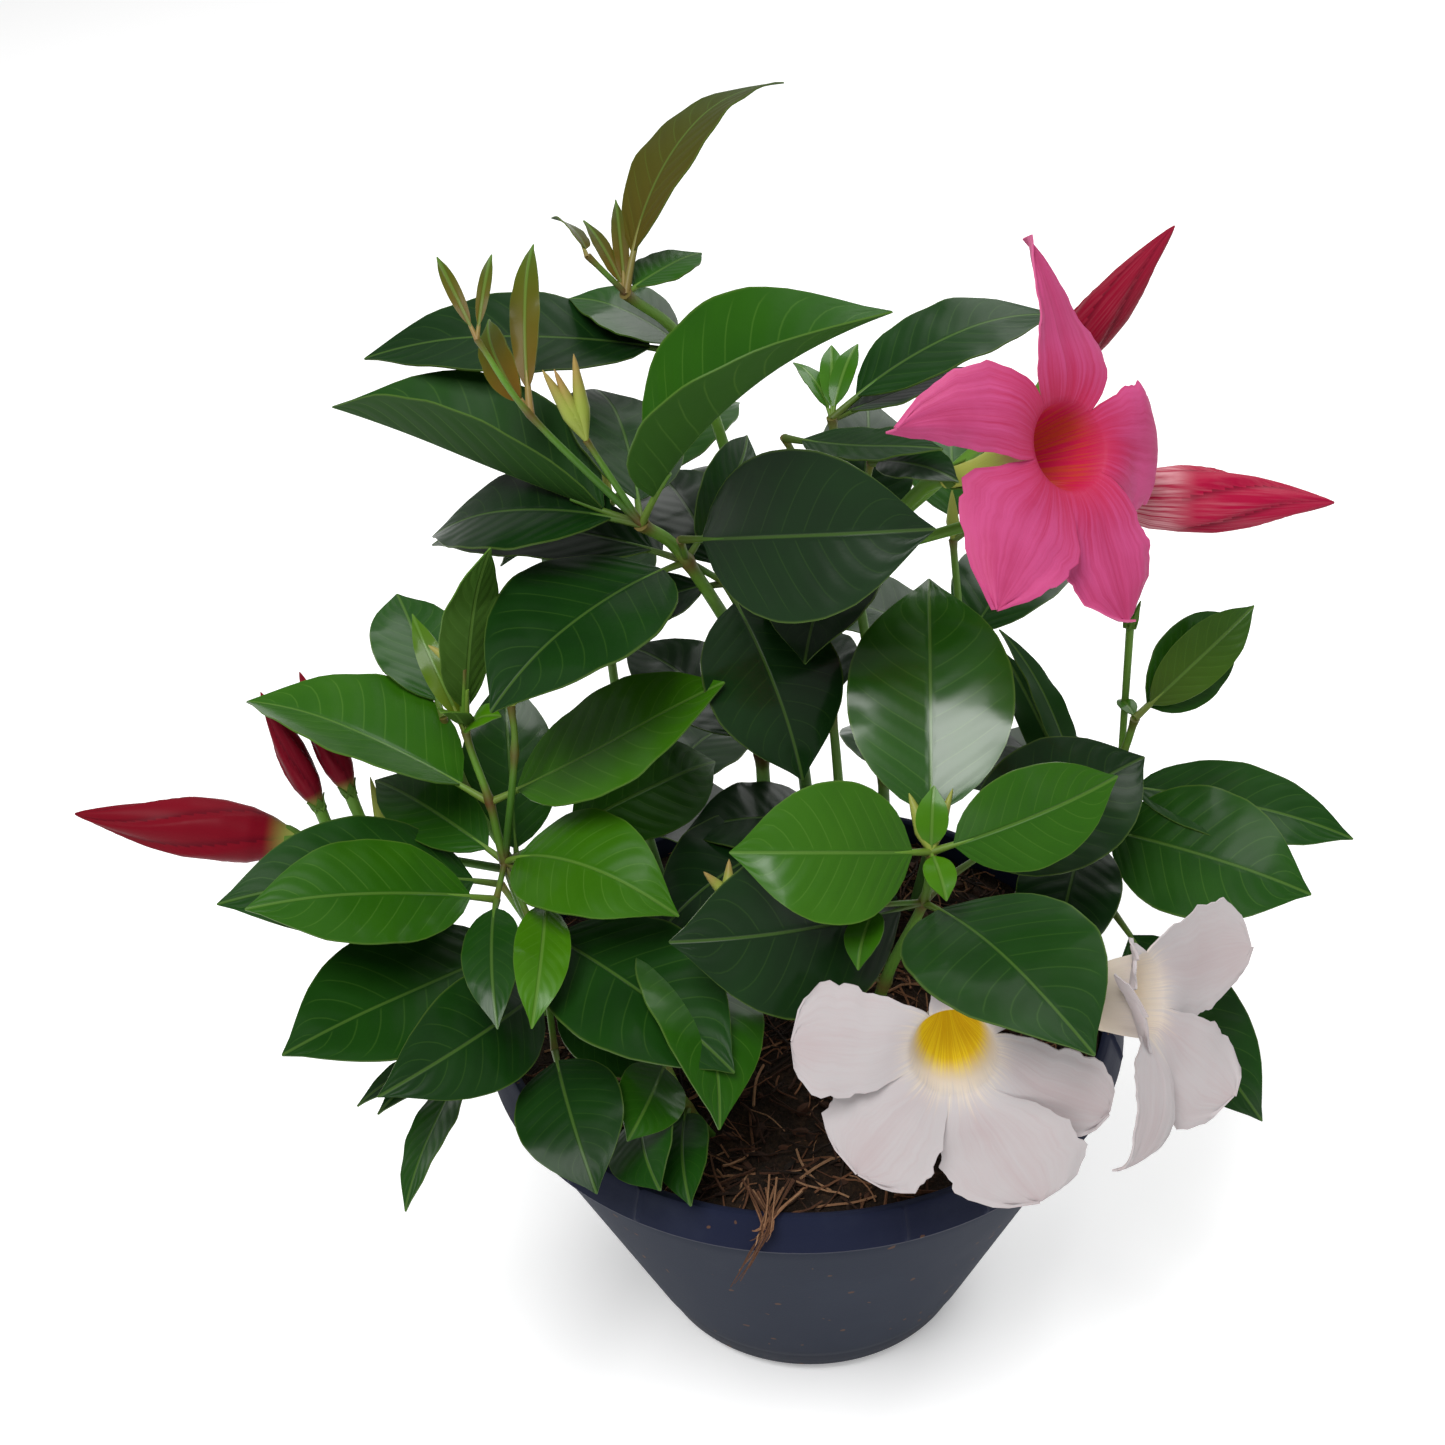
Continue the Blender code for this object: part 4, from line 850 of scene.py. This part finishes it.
def makeBud(name, bud, finish, green):
    form = budForm
    base, tip = np.array(bud["base"], float), np.array(bud["tip"], float)
    ahead = unit(tip - base)
    side = unit(np.cross(ahead, (0.2, 1.0, 0.3)))
    rows, sides = form["rows"], form["sides"]
    share = np.linspace(0, 1, rows)
    radius = bud["radius"] * np.interp(share, *np.array(form["shape"]).T)
    turn = circle(sides)
    twist = np.radians(bud["turn"] * 1.6) * share ** 1.3
    fold = (turn + twist[:, None]) * form["petals"] / (2 * pi) % 1
    depth = form["step"] * ease((share - 0.12) / 0.3) * (0.6 + 0.9 * share)
    flap = ease(fold / 0.85) * (1 - ease((fold - 0.85) / 0.15)) - 0.5  # each petal steps down to the next
    reach = radius[:, None] * (1 + depth[:, None] * flap)
    spoke = spokes(turn, side, np.cross(ahead, side))
    points = (base + np.outer(share, tip - base))[:, None] + reach[:, :, None] * spoke
    heap = Heap()
    heap.add(np.vstack([points.reshape(-1, 3), base, tip]), tubeFaces(rows, sides),
             along=np.append(np.repeat(share, sides), (0, 1)), across=np.append(fold.ravel(), (0.5, 0.5)),
             olive=np.append(np.tile(np.cos(turn), rows), (0, 0)), tone=bud["tone"], seed=len(name) / 20)
    heap.piece(name + "_petals", finish, [name], "bud", 75)
    sepals(green, base, ahead, *(bud["radius"] * size for size in form["sepals"]))


sprigForm = ((0, 0.3), (0.14, 0.6), (0.34, 1.0), (0.65, 0.66), (0.9, 0.3), (1, 0.05))


def sprig(heap, base, heading, rise, length, radius, tone):
    share = np.linspace(0, 1, 12)
    path = base + np.outer(share * length, direction(heading, rise))
    rod(heap, path, np.interp(share, *np.array(sprigForm).T) * radius, 10,
        tone=1.0, olive=tone * ease((share - 0.35) / 0.6), shine=1.0, along=share)


# Pot

potForm = dict(rim=90.0, low=99.0, height=108.0, foot=42.0, wall=2.4, swell=0.35, ridge=0.8, ridgeWidth=1.1,
               ridges=(-76.5, -62.0), every=60, columns=150)


def bodyRadius(height):
    foot = potForm["foot"] + 3
    return foot + (potForm["rim"] - 3.4 - foot) * height / (potForm["low"] - 2)


def makePot():
    form = potForm
    low, high, rim, foot, swell = (form[key] for key in ("low", "height", "rim", "foot", "swell"))
    profile = [(0, 2.0), (foot - 12, 2.0), (foot - 8, 1.2), (foot - 6, 0), (foot - 1.2, 0), (foot + 0.6, 0.5),
               (foot + 1.9, 1.8)]  # radius and height, from under the foot over the rim to the floor inside
    profile += [(bodyRadius(z), z) for z in (5, 12, 13.2)] + [(bodyRadius(14) + swell, 14.0)]
    profile += [(bodyRadius(z) + swell, z) for z in np.linspace(16, low - 3.2, 12)]
    profile += [(bodyRadius(low - 2), low - 2.2), (bodyRadius(low - 2) + 0.5, low - 1.5)]
    profile += [(rim - 1.0, low - 1.2), (rim - 0.3, low - 0.7), (rim, low), (rim - 0.5, low + 1.6),
                (rim - 1.5, low + 4.5), (rim - 2.6, high - 2.2), (rim - 3.0, high - 0.9),
                (rim - 3.5, high - 0.2), (rim - 4.2, high), (rim - 5.2, high - 0.15),
                (rim - 5.9, high - 0.7), (rim - 6.1, high - 2), (rim - 6.6, low - 2)]
    profile += [(bodyRadius(z) - form["wall"], z) for z in (low - 6, 60, 20, 7)]
    profile += [(bodyRadius(3) - 5.4, 3), (0, 3)]
    ridges = [r + form["every"] * k for k in range(6) for r in form["ridges"]]
    turns = [np.arange(form["columns"]) * 360 / form["columns"]]
    turns += [r % 360 + np.linspace(-1.6, 1.6, 9) for r in ridges]  # finer columns at the ridges
    turns = np.unique(np.round(np.concatenate(turns) % 360, 2))
    away = np.min([np.abs((turns - r + 180) % 360 - 180) for r in ridges], axis=0) * pi / 180 * rim
    bulge = form["ridge"] * (1 - ease(away / form["ridgeWidth"]))
    points = []
    for radius, height in profile:
        r = radius + bulge * ease((height - low) / 1.5) * (radius > rim - 4.5)
        points.append(ring(r, np.radians(turns), height))
    heap = Heap()
    heap.add(np.vstack(points), gridFaces(len(profile), len(turns), wrap=True))
    heap.piece("pot_shell", potFinish(), ["pot"], "pot", 35)


# Soil with fibres

soilForm = dict(radius=83.0, top=101.5, crown=2.2, rings=44, columns=150, relief=2.0, rough=0.45, fibres=1500,
                fibreLength=(4, 17), fibreRadius=(0.12, 0.4), chips=420, chipSize=(0.8, 2.6), seed=4,
                waves=((21.0, 1.0), (11.0, 0.6), (5.3, 0.35), (2.6, 0.22)))


def soilHeight(x, y):
    height = soilForm["crown"] * (1 - np.hypot(x, y) / soilForm["radius"])
    for k, (size, grow) in enumerate(soilForm["waves"]):
        wave = np.sin(x / size * 2 + 1.7 * k) * np.cos(y / size * 2.3 - 0.9 * k)
        height = height + soilForm["relief"] * grow * wave
    return soilForm["top"] + height * 0.8


def makeBed(rng):
    form = soilForm
    turns = circle(form["columns"])
    radii = form["radius"] * (np.arange(1, form["rings"] + 1) / form["rings"]) ** 0.9
    x, y = np.outer(radii, np.cos(turns)), np.outer(radii, np.sin(turns))
    z = soilHeight(x, y) + rng.uniform(-form["rough"], form["rough"], x.shape)
    points = [np.stack([x, y, z], 2).reshape(-1, 3)]
    skirt = ((bodyRadius(60) - 3, 60.0), (bodyRadius(7) - 3, 7.5), (0.01, 7.5))
    points += [ring(radius, turns, height) for radius, height in skirt]
    count = form["rings"] + len(skirt)
    middle = len(turns) * count
    faces = [face[::-1] for face in gridFaces(count, len(turns), wrap=True)]
    faces += [(middle, k, (k + 1) % len(turns)) for k in range(len(turns))]
    bed = Heap()
    bed.add(np.vstack(points + [[[0, 0, soilHeight(0, 0)]]]), faces)
    bed.piece("soil_bed", soilFinish(), ["soil"], "soil", 80)


def makeLoose(rng):  # fibres and chips of bark that lie on the bed
    form = soilForm
    loose = Heap()
    for _ in range(form["fibres"]):
        r, a = form["radius"] * sqrt(rng.uniform(0, 0.95)), rng.uniform(0, 2 * pi)
        length, h = rng.uniform(*form["fibreLength"]), rng.uniform(0, 2 * pi)
        bow = rng.uniform(-0.5, 0.5)
        t = np.linspace(-0.5, 0.5, 6)
        x = r * cos(a) + length * (t * cos(h) - bow * (0.25 - t ** 2) * sin(h))
        y = r * sin(a) + length * (t * sin(h) + bow * (0.25 - t ** 2) * cos(h))
        keep = np.minimum(1, (form["radius"] - 0.5) / np.hypot(x, y))
        x, y = x * keep, y * keep
        z = soilHeight(x, y) + 0.2 + rng.uniform(0, 1.6) + rng.uniform(-1.2, 1.8) * (t + 0.5)
        rod(loose, np.stack([x, y, z], 1), rng.uniform(*form["fibreRadius"]), 4,
            tone=rng.uniform(0.1, 0.95) ** 1.4)
    for _ in range(form["chips"]):
        r, a = form["radius"] * sqrt(rng.uniform(0, 0.9)), rng.uniform(0, 2 * pi)
        x, y = r * cos(a), r * sin(a)
        size = rng.uniform(*form["chipSize"])
        ahead = direction(rng.uniform(0, 360), rng.uniform(-20, 20))
        path = np.array([x, y, soilHeight(x, y) + 0.3]) + np.outer(np.array((-1, -0.4, 0.4, 1)) * size, ahead)
        radii = size * np.array((0.25, 0.6, 0.7, 0.3)) * rng.uniform(0.6, 1.1)
        rod(loose, path, radii, 5, tone=rng.uniform(0, 0.45))
    loose.piece("soil_fibres", fibreFinish(), [], "soil", 60)


tuftForm = dict(strands=20, start=(-12, -76, 106), over=(-14, -88.5, 109.3), hang=(-25, -89.5, 86), seed=11,
                radii=(0.34, 0.12))


def makeTuft():
    form = tuftForm
    rng = np.random.default_rng(form["seed"])
    heap = Heap()
    for number in range(form["strands"]):
        start = form["start"] + rng.uniform((-9, -1, -1), (9, 6, 2))
        over = form["over"] + rng.uniform((-1.8, -1, 0), (1.8, 0.5, 0.8))
        drop = rng.uniform(0.15, 1.0) if number % 4 else 0.1
        hang = over + (np.array(form["hang"]) - over) * drop + rng.uniform((-1.6, -1.2, -1), (1.6, 0.5, 1))
        middle = (over + hang) / 2 + rng.uniform(-0.7, 0.7, 3) + (0, -1.2, 0)
        path = smoothPath([start, over, middle, hang], 2.5)
        rod(heap, path, np.linspace(*form["radii"], len(path)), 4, tone=rng.uniform(0.45, 0.95))
    heap.piece("soil_tuft", bpy.data.materials["fibre"], [], "soil", 60)


# Shoots

stemForm = dict(step=3, share=0.82, knot=0.35, knotReach=2.2, blushReach=4, tones=(0.25, 0.95))
stalkForm = dict(step=4, lead=8, past=0.4, bloom=(1.3, 2.1), bud=(1.2, 1.8), bare=(0.9, 1.1), tone=0.85,
                 bareSepals=(1.6, 7))


def stalk(heap, start, end, ahead, radii):  # runs into what it carries along ahead
    form = stalkForm
    path = smoothPath([start, (start + end - ahead * form["lead"]) / 2, end - ahead * form["lead"],
                       end + ahead * form["past"]], form["step"])
    rod(heap, path, np.linspace(*radii, len(path)), 10, tone=form["tone"])


def makeShoot(name, plan, finishes):
    rng = np.random.default_rng(sum(map(ord, name)))
    nodes = {key: np.array(place, float) for key, place in plan["nodes"].items()}
    blades, sticks, greens = Heap(), Heap(), Heap()
    form = stemForm
    for route, first, last in plan["stems"]:
        knots = [nodes[key] for key in route]
        path = smoothPath(knots, form["step"])
        away = [np.linalg.norm(path - knot, axis=1) for knot in knots]
        radii = np.linspace(first, last, len(path)) * form["share"]
        for gap in away[1:]:
            radii = radii * (1 + form["knot"] * np.exp(-(gap / form["knotReach"]) ** 2))
        rod(sticks, path, radii, 10, tone=np.linspace(*form["tones"], len(path)),
            across=np.exp(-(np.min(away, axis=0) / form["blushReach"]) ** 2))
    for node, *shape in plan.get("leaves", ()):
        special = shape.pop() if isinstance(shape[-1], dict) else {}
        leaf(blades, sticks, rng, nodes[node], *shape, **special)
    for node, *shape in plan.get("sprigs", ()):
        sprig(sticks, nodes[node], *shape)
    for bloom in blooms.values():
        if bloom["shoot"] == name:
            ahead = direction(bloom["heading"], bloom["rise"])
            base = bloom["throat"] - ahead * bloomForm["funnel"][-1][0]
            stalk(sticks, nodes[bloom["node"]], base, ahead, stalkForm["bloom"])
    for bud in buds.values():
        if bud["shoot"] == name:
            base, tip = np.array(bud["base"], float), np.array(bud["tip"], float)
            stalk(sticks, nodes[bud["node"]], base, unit(tip - base), stalkForm["bud"])
    for owner, node, end in bareStalks:
        if owner == name:
            path = smoothPath([nodes[node], end], stalkForm["step"])
            rod(sticks, path, np.linspace(*stalkForm["bare"], len(path)), 8, tone=stalkForm["tone"])
            sepals(greens, path[-1], unit(path[-1] - path[-2]), *stalkForm["bareSepals"])
    sticks.piece(name + "_stems", finishes["stem"], [name], "leaf", 60)
    if blades.count:
        blades.piece(name + "_leaves", finishes["leaf"], [name], "leaf", 60)
    if greens.count:
        greens.piece(name + "_sepals", finishes["leaf"], [], "leaf", 60)


finishes = dict(leaf=leafFinish(), stem=stemFinish(), bud=budFinish(), pink=petalFinish("pink"),
                white=petalFinish("white"))
for shootName, plan in shoots.items():
    makeShoot(shootName, plan, finishes)
print("shoots made")

calyx = Heap()
for bloomName, bloom in blooms.items():
    makeBloom(bloomName, bloom, finishes[bloom["colour"]], calyx)
for budName, bud in buds.items():
    makeBud(budName, bud, finishes["bud"], calyx)
calyx.piece("calyx_sepals", finishes["leaf"], [], "leaf", 60)
print("blooms and buds made")

makePot()
soilRng = np.random.default_rng(soilForm["seed"])
makeBed(soilRng)
makeLoose(soilRng)
makeTuft()
print("pot and soil made")


# Floor, light and camera

stage = dict(floorReach=4.0, floorColour=(0.95, 0.95, 0.95), glow=0.3, sky=(1.0, 1.0, 1.0), skyStrength=0.34,
             aim=(0.0, 0.0, 0.2))
lamps = dict(
    over=dict(place=(-0.3, -0.65, 1.45), size=0.7, power=21.0),
    back=dict(place=(0.5, 0.9, 1.2), size=1.0, power=12.0),
)
eye = dict(focal=2240.0, frame=1445.0, sensor=36.0, distance=582.0, pitch=34.3, roll=-2.82,
           target=(-19.2, 0.0, 200.8))


def stand(thing, place, right, up, back):
    turned = Matrix(np.stack([right, up, back], 1).tolist()).to_4x4()
    thing.matrix_world = Matrix.Translation(place) @ turned


def makeFloor():
    made = Finish("floor", Roughness=0.9, Base_Color=(*stage["floorColour"], 1), Emission_Color=(1, 1, 1, 1),
                  Emission_Strength=stage["glow"])
    mesh = bpy.data.meshes.new("floor")
    r = stage["floorReach"]
    mesh.from_pydata([(-r, -r, 0), (r, -r, 0), (r, r, 0), (-r, r, 0)], [], [(0, 1, 2, 3)])
    mesh.materials.append(made.material)
    link("floor", mesh)


def makeLight():
    world = bpy.data.worlds.new("studio")
    world.use_nodes = True
    back = world.node_tree.nodes["Background"]
    back.inputs[0].default_value, back.inputs[1].default_value = (*stage["sky"], 1), stage["skyStrength"]
    bpy.context.scene.world = world
    for name, lamp in lamps.items():
        light = bpy.data.lights.new(name, "AREA")
        light.shape, light.size, light.energy = "SQUARE", lamp["size"], lamp["power"]
        away = unit(np.array(lamp["place"]) - stage["aim"])
        right = unit(np.cross((0, 0, 1), away))
        stand(link(name, light), lamp["place"], right, np.cross(away, right), away)


def makeCamera():
    data = bpy.data.cameras.new("camera")
    data.sensor_width = eye["sensor"]
    data.lens = eye["focal"] / eye["frame"] * eye["sensor"]
    data.clip_start, data.clip_end = 0.01, 50
    pitch, roll = radians(eye["pitch"]), radians(eye["roll"])
    right, back = np.array([1.0, 0, 0]), np.array([0, -cos(pitch), sin(pitch)])
    up = np.cross(back, right)
    right, up = right * cos(roll) + up * sin(roll), up * cos(roll) - right * sin(roll)
    camera = link("camera", data)
    stand(camera, (eye["target"] + back * eye["distance"]) * mm, right, up, back)
    bpy.context.scene.camera = camera


makeFloor()
makeLight()
makeCamera()
bpy.context.scene.view_settings.view_transform = "Standard"
print("stage made")

bpy.context.view_layer.update()
